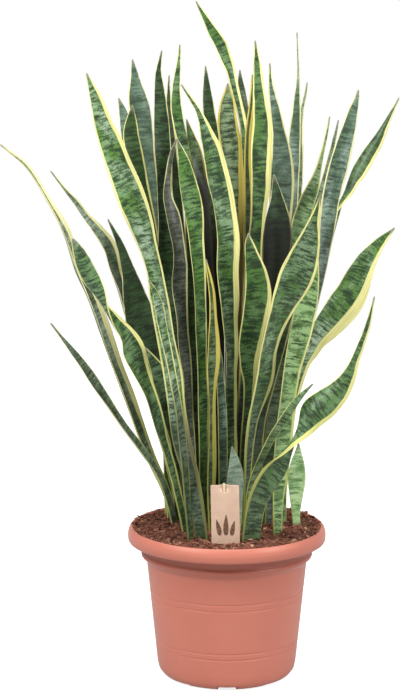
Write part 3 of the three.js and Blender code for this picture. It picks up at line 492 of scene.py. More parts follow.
def latticeNoise(x, y, cell, seed):
    # random values on a square lattice, blended between its points by the cubic 3t2 - 2t3
    table = np.random.default_rng(seed).uniform(-1, 1, (64, 64))
    gx, gy = x / cell, y / cell
    ix, iy = np.floor(gx).astype(int), np.floor(gy).astype(int)
    tx, ty = gx - ix, gy - iy
    tx, ty = tx * tx * (3 - 2 * tx), ty * ty * (3 - 2 * ty)
    low = table[ix % 64, iy % 64] * (1 - tx) + table[(ix + 1) % 64, iy % 64] * tx
    high = table[ix % 64, (iy + 1) % 64] * (1 - tx) + table[(ix + 1) % 64, (iy + 1) % 64] * tx
    return low * (1 - ty) + high * ty


def soilHeight(x, y):
    # a low mound plus three sizes of lumps, which flatten out at the pot's wall
    share = np.clip(np.hypot(x, y) / soil["edge"], 0, 1)
    height = soil["edgeHeight"] + soil["mound"] * (1 - share ** 2)
    calm = np.clip((1 - share) * 12, 0.35, 1)
    for i, (cell, rise) in enumerate(soil["lumps"]):
        height = height + calm * rise * latticeNoise(x, y, cell, soil["seed"] + i)
    return height


def soilPiece():
    # rings (r cos a, r sin a, soilHeight) over the top, then rings down the pot's wall to its bottom
    angles = np.arange(soil["sectors"]) / soil["sectors"] * 2 * math.pi
    inner = np.linspace(0.004, 1, soil["rings"]) ** 0.85 * soil["edge"]
    x, y = inner[:, None] * np.cos(angles), inner[:, None] * np.sin(angles)
    top = np.stack([x, y, soilHeight(x, y)], axis=-1)
    wall = np.array([(126.8, 215.0), (120.5, 203.2), (120.5, 186.2), (115.2, 172), (99.6, 21.4), (93.4, 9.6),
                     (88, 7.6), (20, 7.6)])
    radius, height = wall[:, :1] + 0 * angles, wall[:, 1:] + 0 * angles
    down = np.stack([radius * np.cos(angles), radius * np.sin(angles), height], axis=-1)
    points = np.concatenate([top, down]).reshape(-1, 3)
    rows = len(top) + len(down)
    quads = gridFaces(rows, len(angles), True)[:, ::-1]
    caps = [range(len(angles)), range(len(points) - len(angles), len(points))[::-1]]
    tone = latticeNoise(points[:, 0], points[:, 1], 7, 3)
    return makePiece("compost_bed", points, quads, caps, compostMaterial, ["soil"],
                     {"chip": np.stack([tone * 0.25 + 0.3, tone * 0, tone * 0], axis=-1)})


def spun(count, random, tilt):
    # rotation matrices: a random heading about Z after a random tilt about X and roll about Y
    heading = random.uniform(0, 2 * math.pi, count)
    lean, roll = random.normal(0, tilt, (2, count))
    ch, sh, cl, sl, cr, sr = (f(a) for a in (heading, lean, roll) for f in (np.cos, np.sin))
    zero, one = 0 * ch, 1 + 0 * ch
    aboutZ = np.array([[ch, -sh, zero], [sh, ch, zero], [zero, zero, one]])
    aboutX = np.array([[one, zero, zero], [zero, cl, -sl], [zero, sl, cl]])
    aboutY = np.array([[cr, zero, sr], [zero, one, zero], [-sr, zero, cr]])
    return np.einsum("ijn,jkn,kln->nil", aboutZ, aboutX, aboutY)


def scattered(count, random):
    # places spread evenly over the bed by r = edge * sqrt(share), a few of them out on the rim, and a
    # share of them heaped in a bell curve round the feet of the leaves
    r = soil["edge"] * np.sqrt(random.uniform(0, soil["spill"], count))
    angle = random.uniform(0, 2 * math.pi, count)
    x, y = r * np.cos(angle), r * np.sin(angle)
    feet = np.array([leaf[0] for leaf in leaves.values()], float)
    near = feet[random.integers(0, len(feet), count)] + random.normal(0, soil["gatherWidth"], (count, 2))
    heaped = (random.uniform(0, 1, count) < soil["gathered"]) & (np.hypot(*near.T) < soil["edge"])
    x, y = np.where(heaped, near[:, 0], x), np.where(heaped, near[:, 1], y)
    onRim = np.hypot(x, y) > soil["edge"]
    inBed = soilHeight(x, y) + heaped * random.uniform(0, soil["heap"], count)
    return x, y, np.where(onRim, soil["rimHeight"], inBed)


def chipPiece():
    # each chip is a box of eight corners, tapered and with every corner pushed about
    random = np.random.default_rng(soil["seed"])
    count = soil["chips"]
    x, y, z = scattered(count, random)
    low, high = soil["chipLength"]
    length = low + (high - low) * random.beta(1.1, 3.4, count)
    size = np.stack([length, length * random.uniform(*soil["chipWidth"], count),
                     length * random.uniform(*soil["chipHeight"], count)], axis=-1)
    corners = np.array([(i, j, k) for k in (-1, 1) for j in (-1, 1) for i in (-1, 1)]) / 2
    shapes = corners[None] * size[:, None] * (1 + random.uniform(*soil["chipCorners"], (count, 8, 3)))
    turned = np.einsum("nij,nkj->nki", spun(count, random, soil["chipTilt"]), shapes)
    points = turned + np.stack([x, y, z + 0.3 * size[:, 2] + 0.2], axis=-1)[:, None]
    sides = np.array([(0, 2, 3, 1), (4, 5, 7, 6), (0, 1, 5, 4), (2, 6, 7, 3), (0, 4, 6, 2), (1, 3, 7, 5)])
    quads = (sides[None] + 8 * np.arange(count)[:, None, None]).reshape(-1, 4)
    tone = np.repeat(np.clip(random.beta(2.2, 2.6, count), 0, 1), 8)
    red = np.repeat(random.uniform(0, 1, count), 8)
    return makePiece("bark_chips", points.reshape(-1, 3), quads, [], compostMaterial, (),
                     {"chip": np.stack([tone, red, 0 * red], axis=-1)}, smooth=False)


def fibrePiece():
    # a fibre is a three-sided tube along a flat arc: its heading turns evenly along it, its middle bows
    # up by the cosine, and it thins towards both ends
    random = np.random.default_rng(soil["seed"] + 5)
    count, steps = soil["fibres"], 7
    x, y, z = scattered(count, random)
    low, high = soil["fibreLength"]
    length = random.uniform(low, high, count)[:, None]
    along = np.linspace(-0.5, 0.5, steps)[None]
    heading = random.uniform(0, 2 * math.pi, count)[:, None] + random.normal(0, 1.1, count)[:, None] * along
    path = np.stack([np.cumsum(np.cos(heading), axis=1), np.cumsum(np.sin(heading), axis=1),
                     0 * heading], axis=-1) * (length / steps)[..., None]
    path = path - path.mean(axis=1, keepdims=True)
    path[..., 2] = np.cos(along * math.pi) * random.uniform(*soil["fibreBow"], count)[:, None]
    path += np.stack([x, y, z + 0.6], axis=-1)[:, None]
    thick = random.uniform(*soil["fibreRadius"], count)[:, None] * np.sqrt(1.05 - (2 * along) ** 2)
    ring = []
    for k in range(3):
        turn = k * 2 * math.pi / 3
        side = np.stack([-np.sin(heading), np.cos(heading), 0 * heading], axis=-1) * math.cos(turn)
        side[..., 2] = math.sin(turn)
        ring.append(path + side * thick[..., None])
    points = np.stack(ring, axis=2)
    quads = gridFaces(steps, 3, True)
    ends = np.array([[2, 1, 0], [3 * steps - 3, 3 * steps - 2, 3 * steps - 1]])
    firsts = 3 * steps * np.arange(count)[:, None, None]
    allQuads = (quads[None] + firsts).reshape(-1, 4)
    caps = (ends[None] + firsts).reshape(-1, 3)
    tone = np.repeat(random.uniform(0.55, 1, count), 3 * steps)
    return makePiece("coir_fibres", points.reshape(-1, 3), allQuads, caps.tolist(), compostMaterial,
                     (), {"chip": np.stack([tone, tone, 0 * tone], axis=-1)})


def makeCompost():
    # Composted pine bark and coir: rough, dull and matt, each chip its own brown, dark in the gaps.
    material, tree = newMaterial("barkCompost")
    chip = addNode(tree, "Attribute", output=1, attribute_name="chip")
    chipTone, chipRed = addNode(tree, "SeparateXYZ", {0: chip}).node.outputs[:2]
    coords = addNode(tree, "TexCoord", output=3)
    grain = addNode(tree, "TexNoise", {"Vector": coords, "Scale": 420.0, "Detail": 4.0, "Roughness": 0.65})
    shade = addNode(tree, "Math", {0: grain, 1: 0.55, 2: -0.27}, operation="MULTIPLY_ADD")
    tone = addNode(tree, "Math", {0: chipTone, 1: shade}, operation="ADD")
    brown = addNode(tree, "ValToRGB", {0: tone})
    stops = brown.node.color_ramp.elements
    for place, colour in ((0.5, "#6A3F2E"), (0.8, "#93664C")):
        stops.new(place).color = linear(colour)
    stops[0].color, stops[-1].color = linear("#2C1410"), linear("#D0A184")
    colour = addNode(tree, "Mix", {0: chipRed, 6: brown, 7: linear("#8C4A38")}, 2, data_type="RGBA")
    kept = addNode(tree, "Mix", {0: 0.4, 6: brown, 7: colour}, 2, data_type="RGBA")
    bump = addNode(tree, "Bump", {"Strength": 0.6, "Distance": 0.0008, "Height": grain})
    shader = addNode(tree, "BsdfPrincipled", {"Base Color": kept, "Roughness": 0.92, "Normal": bump})
    addNode(tree, "OutputMaterial", {"Surface": shader})
    return material


compostMaterial = makeCompost()
soilPiece()
chipPiece()
fibrePiece()
print("compost done")

# The label: a kraft card on a flat wooden stick, which comes through a slit near the card's top.
label = {
    "width": 41, "bottom": 223.5, "top": 311, "thickness": 0.8, "bow": 1.6, "slitLow": 299, "slitHigh": 308,
    "middle": -3.4, "stickY": -102, "stickWidth": 3.6, "stickThickness": 1.6, "stickTop": 313.5,
    "stickLeanX": -5.4, "stickFootX": -0.6, "stickSides": 20, "soilTop": 219, "sunk": 34,
    "gap": 0.65, "corner": 0.8, "slitX": -4.7, "slitCut": (5.0, 8, 6.4),
    "dentHalf": 3, "dentFade": 6, "dentLoss": 0.9,  # how wide the slit bends the card, and how it fades
    "blades": ((-8.6, 25, 7.0, -4.6), (0.4, 32, 7.6, 0.8), (9.0, 23, 6.8, 4.4)),  # x, height, width, lean
    "bladeFoot": 236, "printLifts": (0.06, -0.02),  # the blades' lower end, and the print's two faces
}


def cardSurface(u, v):
    # z rises from bottom to top with v; near the stick y steps from before it to behind it between the
    # slit's two heights by 3t2 - 2t3, and only a little further out, less a bow that grows with u squared
    z = label["bottom"] + (label["top"] - label["bottom"]) * v
    t = np.clip((z - label["slitLow"]) / (label["slitHigh"] - label["slitLow"]), 0, 1)
    apart = label["stickThickness"] / 2 + label["thickness"] / 2 + label["gap"]
    lean = (label["stickLeanX"] - label["stickFootX"]) * 0.35 * (v - 0.5)
    x = label["middle"] + lean + u * label["width"] / 2
    far = np.clip((np.abs(x - label["slitX"]) - label["dentHalf"]) / label["dentFade"], 0, 1)
    near = 1 - label["dentLoss"] * far * far * (3 - 2 * far)
    y = label["stickY"] + apart * (2 * near * t * t * (3 - 2 * t) - 1) - label["bow"] * (u * u - 0.05)
    return np.stack([x, y, z], axis=-1)


def cardPiece():
    # the surface's front and back, half a thickness each way along Y, with corners clipped round
    columns, rows = 36, 72
    v = np.linspace(0, 1, rows)[:, None]
    u = np.linspace(-1, 1, columns)[None, :]
    height = v * (label["top"] - label["bottom"])
    fromEnd = np.minimum(height, label["top"] - label["bottom"] - height)
    corner = label["corner"]
    clipped = corner - np.sqrt(np.maximum(corner ** 2 - np.maximum(corner - fromEnd, 0) ** 2, 0))
    pull = 1 - clipped / (label["width"] / 2)
    front = cardSurface(u * pull, v + 0 * u)
    back = front.copy()
    front[..., 1] -= label["thickness"] / 2
    back[..., 1] += label["thickness"] / 2
    points = np.concatenate([front, back[:, ::-1]], axis=1)
    quads = gridFaces(rows, 2 * columns, True)
    caps = [range(2 * columns)[::-1], range((rows - 1) * 2 * columns, rows * 2 * columns)]
    card = makePiece("label_kraft", points.reshape(-1, 3), quads, caps, kraftMaterial(),
                     ["label_card"])
    slit = np.array([label["slitX"], label["stickY"], (label["slitLow"] + label["slitHigh"]) / 2]) / 1000
    bpy.ops.mesh.primitive_cube_add(size=0.001, location=tuple(slit))
    bpy.context.object.scale = label["slitCut"]
    cutAway(card, bpy.context.object)
    return card


def stickPiece():
    # a flat bar along a leaning line, its corners rounded by a superellipse and its top by a half circle
    sides = label["stickSides"]
    around = np.arange(sides) / sides * 2 * math.pi
    low, high = label["soilTop"] - label["sunk"], label["stickTop"]
    half = label["stickWidth"] / 2
    z = np.concatenate([np.linspace(low, high - half, 40),
                        high - half + half * np.sin(np.linspace(0.1, 1.52, 10))])
    narrowed = np.sqrt(np.clip(1 - (np.maximum(z - high + half, 0) / half) ** 2, 0.002, 1))
    lean = (label["stickLeanX"] - label["stickFootX"]) / (high - label["soilTop"])
    x = label["stickFootX"] + lean * (z - label["soilTop"])
    cx, cy = (np.sign(f(around)) * np.abs(f(around)) ** 0.35 for f in (np.cos, np.sin))
    points = np.stack([x[:, None] + cx * half * narrowed[:, None],
                       label["stickY"] + cy * label["stickThickness"] / 2 + 0 * z[:, None],
                       z[:, None] + 0 * cx], axis=-1)
    caps = [range(sides)[::-1], range(sides * (len(z) - 1), sides * len(z))]
    return makePiece("label_bar", points.reshape(-1, 3), gridFaces(len(z), sides, True), caps, woodMaterial(),
                     ["label_stick"])


def printPiece():
    # three upright blades stamped on the card, each s up its height as wide as its width times
    # sin(pi s^0.62)^0.8, laid on the card's face and just under it
    rows, columns = 26, 7
    s = np.linspace(0.02, 1, rows)[:, None]
    across = np.linspace(-1, 1, columns)[None]
    points, quads = [], []
    for foot, height, width, lean in label["blades"]:
        x = foot + lean * s ** 1.6 + across * width / 2 * np.sin(math.pi * s ** 0.62) ** 0.8
        z = label["bladeFoot"] + height * s + 0 * across
        on = cardSurface(x / (label["width"] / 2), (z - label["bottom"]) / (label["top"] - label["bottom"]))
        for lift in label["printLifts"]:
            sheet = on.copy()
            sheet[..., 1] -= label["thickness"] / 2 + lift
            face = gridFaces(rows, columns, False)
            quads.append((face if lift > 0 else face[:, ::-1]) + sum(map(len, points)))
            points.append(sheet.reshape(-1, 3))
    return makePiece("label_print", np.concatenate(points), np.concatenate(quads), [], inkMaterial())


def kraftMaterial():
    # Unbleached kraft board: warm light brown, matt, with short fibres and a faint lighter scuff.
    material, tree = newMaterial("kraftBoard")
    coords = addNode(tree, "TexCoord", output=3)
    stretched = addNode(tree, "Mapping", {"Vector": coords, "Scale": (1.0, 1.0, 0.25)})
    fibre = addNode(tree, "TexNoise", {"Vector": stretched, "Scale": 1300.0, "Detail": 3.0, "Roughness": 0.7})
    cloud = addNode(tree, "TexNoise", {"Vector": coords, "Scale": 60.0, "Detail": 2.0})
    base = addNode(tree, "Mix", {0: cloud, 6: linear("#C4A28A"), 7: linear("#D6BAA4")}, 2, data_type="RGBA")
    fleck = addNode(tree, "MapRange", {0: fibre, 1: 0.56, 2: 0.72, 3: 0.0, 4: 0.5})
    colour = addNode(tree, "Mix", {0: fleck, 6: base, 7: linear("#AA8468")}, 2, data_type="RGBA")
    bump = addNode(tree, "Bump", {"Strength": 0.25, "Distance": 0.0002, "Height": fibre})
    shader = addNode(tree, "BsdfPrincipled", {"Base Color": colour, "Roughness": 0.88, "Normal": bump})
    addNode(tree, "OutputMaterial", {"Surface": shader})
    return material


def inkMaterial():
    # Brown stamping ink soaked into board: matt, patchy where the fibres took less of it.
    material, tree = newMaterial("stampedInk")
    coords = addNode(tree, "TexCoord", output=3)
    patch = addNode(tree, "TexNoise", {"Vector": coords, "Scale": 700.0, "Detail": 3.0})
    share = addNode(tree, "MapRange", {0: patch, 1: 0.42, 2: 0.66})
    colour = addNode(tree, "Mix", {0: share, 6: linear("#4E3628"), 7: linear("#8E6A50")}, 2, data_type="RGBA")
    shader = addNode(tree, "BsdfPrincipled", {"Base Color": colour, "Roughness": 0.9})
    addNode(tree, "OutputMaterial", {"Surface": shader})
    return material


def woodMaterial():
    # Planed birch: pale, dry and matt, with fine grain along the stick.
    material, tree = newMaterial("planedBirch")
    coords = addNode(tree, "TexCoord", output=3)
    along = addNode(tree, "Mapping", {"Vector": coords, "Scale": (1.0, 1.0, 0.04)})
    grain = addNode(tree, "TexNoise", {"Vector": along, "Scale": 1400.0, "Detail": 3.0})
    colour = addNode(tree, "Mix", {0: grain, 6: linear("#C9B089"), 7: linear("#E9DBBE")}, 2, data_type="RGBA")
    bump = addNode(tree, "Bump", {"Strength": 0.2, "Distance": 0.0002, "Height": grain})
    shader = addNode(tree, "BsdfPrincipled", {"Base Color": colour, "Roughness": 0.75, "Normal": bump})
    addNode(tree, "OutputMaterial", {"Surface": shader})
    return material


cardPiece()
stickPiece()
printPiece()
print("label done")

# What each leaf's face is like: finish, margin widths left and right in mm, how strongly it is banded,
# the share of its width that a margin may fill, how much pale waxy bloom and painted sheen lie on it, the
# light its lower part keeps in the dense middle of the clump, and the height in mm up to which that holds.
leafLooks = {
    "leaf_left_low": ("grey", 1, 1.2, 0.7, 0.25, 0.5, 1, 270),
    "leaf_left_far": ("grey", 1.5, 6, 0.5, 0.45, 1.3, 1, 620),
    "leaf_left_twisted": ("mid", 1.2, 4, 1.1, 0.25, 0.45, 0.7, 370),
    "leaf_left_inner": ("mid", 1.5, 5, 0.9, 0.35, 0.7, 0.6, 400),
    "leaf_left_slim": ("grey", 1, 4.5, 0.5, 0.3, 1.1, 1, 620),
    "leaf_left_dark": ("night", 0.8, 1.2, 0.6, 0.2, 0.2, 1, 620),
    "leaf_left_front": ("fresh", 2.5, 8, 1.0, 0.25, 1.1, 0.3, 370),
    "leaf_left_narrow": ("fresh", 1.2, 1.8, 1, 0.25, 1.0, 0.3, 400),
    "leaf_rear_left_a": ("deep", 2.5, 3, 0.5, 0.25, 0.2, 0.4, 620),
    "leaf_rear_left_b": ("blue", 1, 1.5, 0.35, 0.2, 0.5, 0.5, 620),
    "leaf_rear_left_c": ("blue", 3, 1.2, 0.4, 0.2, 0.5, 0.45, 620),
    "leaf_left_upright": ("night", 0.6, 1.1, 1.0, 0.2, 0.35, 1, 620),
    "leaf_rear_pale": ("mid", 2, 1.2, 0.9, 0.25, 0.6, 0.3, 620),
    "leaf_centre_bright": ("fresh", 1, 2.5, 1.1, 0.25, 0.2, 0.5, 300),
    "leaf_centre_wavy": ("slate", 1, 2.2, 0.7, 0.2, 0.8, 1, 620),
    "leaf_rear_thin": ("night", 1, 2, 0.6, 0.3, 0.4, 0.25, 620),
    "leaf_rear_cream": ("golden", 1, 3.5, 0.7, 0.35, 0.9, 0.03, 720),
    "leaf_centre_front": ("mid", 1.2, 8, 1.1, 0.25, 0.8, 1, 620),
    "leaf_label_left": ("golden", 2, 7, 1, 0.5, 0.9, 0.7, 400),
    "leaf_label_back": ("blue", 1.2, 1.5, 0.8, 0.3, 0.9, 1, 620),
    "leaf_sucker_front": ("mint", 0.8, 0.8, 0.5, 0.2, 0.5, 1, 620),
    "leaf_rear_centre_a": ("night", 1.8, 1.2, 0.7, 0.25, 0.5, 0.03, 620),
    "leaf_rear_centre_b": ("golden", 8, 8, 0.9, 0.25, 1.6, 0.12, 620),
    "leaf_tallest": ("mid", 1.5, 4, 1, 0.3, 0.4, 0.25, 620),
    "leaf_rear_purple": ("night", 0.8, 0.8, 0.4, 0.2, 0.6, 0.25, 620),
    "leaf_right_tall": ("mid", 3, 6.5, 1.1, 0.2, 0.3, 0.15, 380),
    "leaf_rear_golden": ("golden", 5, 9, 0.8, 0.4, 0.3, 0.35, 620),
    "leaf_right_blue": ("blue", 3, 3.5, 0.45, 0.25, 0.7, 0.35, 620),
    "leaf_right_folded": ("night", 2, 2.5, 0.6, 0.25, 0.6, 0.1, 650),
    "leaf_rear_right_a": ("blue", 1.2, 1.5, 0.4, 0.2, 1.0, 0.35, 620),
    "leaf_rear_right_b": ("grey", 1.2, 1.5, 0.4, 0.2, 1.2, 0.45, 620),
    "leaf_right_behind": ("pale", 3, 1.5, 0.9, 0.25, 0.5, 0.25, 480),
    "leaf_back_a": ("deep", 2.5, 2.5, 0.9, 0.25, 0.3, 0.8, 620),
    "leaf_back_b": ("mid", 3, 2.5, 0.9, 0.25, 0.3, 0.8, 620),
    "leaf_back_c": ("mid", 2.5, 2.5, 1, 0.25, 0.3, 0.9, 620),
    "leaf_back_d": ("deep", 2.5, 3, 1, 0.25, 0.3, 0.9, 620),
    "leaf_rear_right_c": ("grey", 1, 1.5, 0.6, 0.25, 1, 0.7, 620),
    "leaf_right_arching": ("blue", 3.5, 2, 0.6, 0.25, 1.0, 0.6, 620),
    "leaf_right_far": ("deep", 3.5, 1.2, 0.4, 0.3, 0.75, 1, 620),
    "leaf_right_long_front": ("mid", 4, 5, 1.1, 0.25, 0.7, 1, 620),
    "leaf_right_short_broad": ("mid", 2, 7, 1.1, 0.25, 0.3, 0.4, 340),
    "leaf_right_low_arching": ("fresh", 0.8, 12, 0.85, 0.3, 1.4, 1, 620),
    "leaf_right_light": ("pale", 1.4, 2.6, 1.2, 0.2, 0.1, 1, 620),
    "leaf_right_front_twisted": ("mid", 6, 0.8, 0.9, 0.35, 0.5, 0.6, 290),
    "leaf_right_low": ("fresh", 0.8, 0.8, 0.8, 0.2, 0.7, 1, 620),
    "leaf_right_hidden": ("deep", 1.2, 2.5, 0.9, 0.25, 0.5, 0.4, 620),
    "leaf_sucker_right": ("young", 0.8, 0.8, 0.7, 0.15, 0.5, 1, 620),
}

# Each finish: band dark, band light, the palest flecks of bloom and painted sheen, and the margin's two
# yellows.
finishes = {
    "deep": ("#22351B", "#3F5E2A", "#7C9A70", "#EBE49A", "#BDBB66"),
    "mid": ("#283F22", "#4C7431", "#94AF8C", "#F1EBA0", "#C8C66C"),
    "fresh": ("#2C4822", "#578430", "#A6BDA0", "#F3EDA4", "#CDCA70"),
    "blue": ("#36493A", "#5A7656", "#A5BAAE", "#F0EAAE", "#C4C484"),
    "grey": ("#3A4636", "#5E7252", "#9BAC96", "#E9E2A4", "#AEAD74"),
    "pale": ("#55743F", "#93B678", "#BED0AE", "#E4E296", "#B7BA66"),
    "young": ("#74A05E", "#B4D498", "#D6E6C2", "#C9D896", "#9DB872"),
    "mint": ("#7E9E84", "#B4CCB2", "#CFDDD0", "#C4D69A", "#9DB486"),
    "golden": ("#26361C", "#45602C", "#8AA07A", "#DFCB64", "#B3A44A"),
    "night": ("#1C2914", "#33502A", "#61765A", "#E6DFA2", "#ACA86C"),
    "slate": ("#383B30", "#5C6253", "#8A8F84", "#DCD79A", "#9A9A66"),
}

blade = {
    "around": 28, "step": 5.5, "soilTop": 219, "rootDepth": 36, "seed": 23,
    "depthPower": 1.3, "footShare": 0.92, "rootShare": 0.9,  # widths of foot and root, as shares
    "thickFoot": 8.5, "thickBlade": 3.6, "thinBy": 0.45,  # mm, mm, and the share of its length
    "tip": 1.4,  # mm of its end that are rounded off
    "thickShare": 0.55, "thickLeast": 0.6,  # at most this share of its width plus so many mm
    "wave": (0.5, 1.5), "waveLength": (75, 140),  # how far its edges swing, and the length of a wave
    "calmRoot": 90, "calmOver": 120, "fullWave": 30,  # calm low down and at the tip, and where narrow
    "marginTaper": 150, "marginTip": 0.3,  # margins narrow to this share over so many mm of tip
    "marginGrowth": 220, "marginFoot": 0.55,  # and grow from this share over so many mm of foot
    "swell": (0.1, 0.3), "swellLength": (35, 60), "dimOver": 90,
}

# Noise patterns over a leaf: how tight across and along per mm, a shift of their own, and the detail.
bladePatterns = {
    "jag": (0.75, 0.06, 7.3, 2.0),  # fibres about 1.3 mm apart
    "warp": (0.045, 0.03, 3.1, 1.0),  # slow wander of whole bands
    "patches": (0.06, 0.075, 5.7, 2.5),  # lighter and darker lengths of 13 mm
    "bands": (0.05, 0.27, 4.3, 2.5),  # a band each 4 mm or so
    "mottle": (0.42, 0.6, 1.9, 2.5),  # 2 mm flecks within a band
    # the next pattern lays both the waxy bloom and a painted sheen along some lengths of a leaf
    "lengths": (0.04, 0.014, 9.1, 2.0),  # bloom left on some lengths and rubbed off others
    "lengthwise": (0.9, 0.012, 2.3, 2.0),  # long streaks in the margin
}


def alongLine(rows, at, t):
    # cubic pieces through the rows: each starts and ends with the slope between its row's neighbours
    i = np.clip(np.searchsorted(at, t) - 1, 0, len(at) - 2)
    slopes = np.empty_like(rows)
    slopes[1:-1] = (rows[2:] - rows[:-2]) / (at[2:] - at[:-2])[:, None]
    slopes[0], slopes[-1] = ((rows[k + 1] - rows[k]) / (at[k + 1] - at[k]) for k in (0, len(at) - 2))
    span = (at[i + 1] - at[i])[:, None]
    u = (t - at[i])[:, None] / span
    rise, first, last = rows[i + 1] - rows[i], slopes[i] * span, slopes[i + 1] * span
    return rows[i] + u * (first + u * ((first + last - 2 * rise) * u + 3 * rise - 2 * first - last))


def leafLine(base, tipY, rows):
    # rows of x, y, z, width and turn: a root under the base, then each seen point pushed back along
    # its line of sight to a depth that goes from base to tip by a power of its height's share
    x, z, width, turn = np.array(rows, float).T
    share = np.maximum((z - blade["soilTop"]) / (z[-1] - blade["soilTop"]), 0) ** blade["depthPower"]
    depth = base[1] + (tipY - base[1]) * share
    onPlane = np.stack([x, z * planeUp[1], z * planeUp[2]], axis=-1)
    reach = (depth - eye[1]) / (onPlane[:, 1] - eye[1])
    seen = eye + (onPlane - eye) * reach[:, None]
    foot = width[0] * blade["footShare"]
    low = [[base[0], base[1], blade["soilTop"] - blade["rootDepth"], foot * blade["rootShare"], turn[0]],
           [base[0], base[1], blade["soilTop"], foot, turn[0]]]
    return np.concatenate([np.array(low), np.column_stack([seen, width, turn])])


def leafSurface(base, tipY, cup, rows, random):
    # a closed section carried along the line: across it u = -cos a from edge to edge, its middle
    # hollowed by cup * width * (u2 - 0.35), half the thickness times sin a to the front and the back,
    # edges waved by a sine along the leaf that grows with u squared, and the tip rounded off
    line = leafLine(base, tipY, rows)
    at = np.concatenate([[0], np.cumsum(np.linalg.norm(np.diff(line[:, :3], axis=0), axis=1))])
    length, tip = at[-1], blade["tip"]
    t = np.concatenate([np.linspace(0, length - tip, int(length / blade["step"])),
                        length - tip + tip * np.sin(np.linspace(0.35, 1.5, 5))])
    values = alongLine(line, at, t)
    centre, width, turn = values[:, :3], values[:, 3], np.radians(values[:, 4])
    tangent = alongLine(line, at, np.minimum(t + 1.5, length)) - alongLine(line, at, np.maximum(t - 1.5, 0))
    tangent = tangent[:, :3] / np.linalg.norm(tangent[:, :3], axis=1, keepdims=True)
    flat = np.cross(centre - eye, tangent)
    flat /= np.linalg.norm(flat, axis=1, keepdims=True)
    across = flat * np.cos(turn)[:, None] + np.cross(tangent, flat) * np.sin(turn)[:, None]
    away = np.cross(tangent, across)
    thinning = np.minimum(t / length / blade["thinBy"], 1)
    thick = blade["thickFoot"] + (blade["thickBlade"] - blade["thickFoot"]) * thinning
    thick = np.minimum(thick, blade["thickShare"] * width + blade["thickLeast"])
    end = np.sqrt(np.clip(1 - (np.maximum(t - length + tip, 0) / tip) ** 2, 0.004, 1))
    around = np.arange(blade["around"]) / blade["around"] * 2 * math.pi
    u = -np.cos(around)[None]
    calm = np.clip((t - blade["calmRoot"]) / blade["calmOver"], 0, 1)
    calm = calm * np.clip((length - t) / blade["calmOver"], 0.05, 1)
    calm = calm * np.clip(width / blade["fullWave"], 0.2, 1)
    size = random.uniform(*blade["wave"], 2)
    phase = 2 * math.pi * (t[:, None] / random.uniform(*blade["waveLength"], 2) + random.uniform(0, 1, 2))
    swing = calm[:, None] * size * np.sin(phase)
    wave = np.where(u < 0, swing[:, :1], swing[:, 1:]) * u ** 2
    half = (width * end / 2)[:, None]
    out = -cup * (width * end)[:, None] * (u ** 2 - 0.35) + wave - np.sin(around) * (thick * end / 2)[:, None]
    points = centre[:, None] + across[:, None] * (u * half)[..., None] + away[:, None] * out[..., None]
    return points, t, length, width, u


def leafPiece(name, index):
    # one leaf, with what its material reads at each point: its place across, along and in from the
    # margins in mm, its own seed, distance from the tip and banding, and its shade and its bloom with painted
    # sheen
    base, tipY, cup, rows = leaves[name]
    finish, left, right, gain, most, bloomAndSheen, lit, dim = leafLooks[name]
    random = np.random.default_rng(blade["seed"] + index)
    points, t, length, width, u = leafSurface(base, tipY, cup, rows, random)
    count, around = points.shape[:2]
    w = width[:, None]
    fromTip = length - t[:, None]
    ease = np.clip(fromTip / blade["marginTaper"], 0, 1)
    ease = ease * ease * (3 - 2 * ease)
    atTip, atFoot = blade["marginTip"], blade["marginFoot"]
    swell = random.uniform(*blade["swell"], 2) * np.sin(
        t[:, None] / random.uniform(*blade["swellLength"], 2) + random.uniform(0, 6, 2))
    margins = np.array([left, right]) * (atTip + (1 - atTip) * ease) * (1 + swell)
    up = np.clip((t[:, None] - blade["rootDepth"]) / blade["marginGrowth"], 0, 1)
    margins = np.minimum(margins * (atFoot + (1 - atFoot) * up), most * w)
    inside = np.minimum((1 + u) * w / 2 - margins[:, :1], (1 - u) * w / 2 - margins[:, 1:])
    lateral, along = u * w / 2, t[:, None] - blade["rootDepth"] + 0 * u
    where = np.stack([lateral, along, inside], axis=-1)
    seed = random.uniform(0, 40)
    kind = np.stack([seed + 0 * along, fromTip + 0 * u, gain + 0 * along], axis=-1)
    high = np.clip((points[:, :, 2] - dim) / blade["dimOver"], 0, 1)
    light = np.stack([(1 - lit) * (1 - high * high * (3 - 2 * high)) + 0 * u, bloomAndSheen + 0 * along,
                      0 * along], axis=-1)
    caps = [range(around)[::-1], range((count - 1) * around, count * around)]
    return makePiece(name.replace("leaf_", "blade_"), points.reshape(-1, 3), gridFaces(count, around, True),
                     caps, leafMaterials[finish], [name],
                     {"bladePlace": where, "bladeKind": kind, "bladeLight": light})


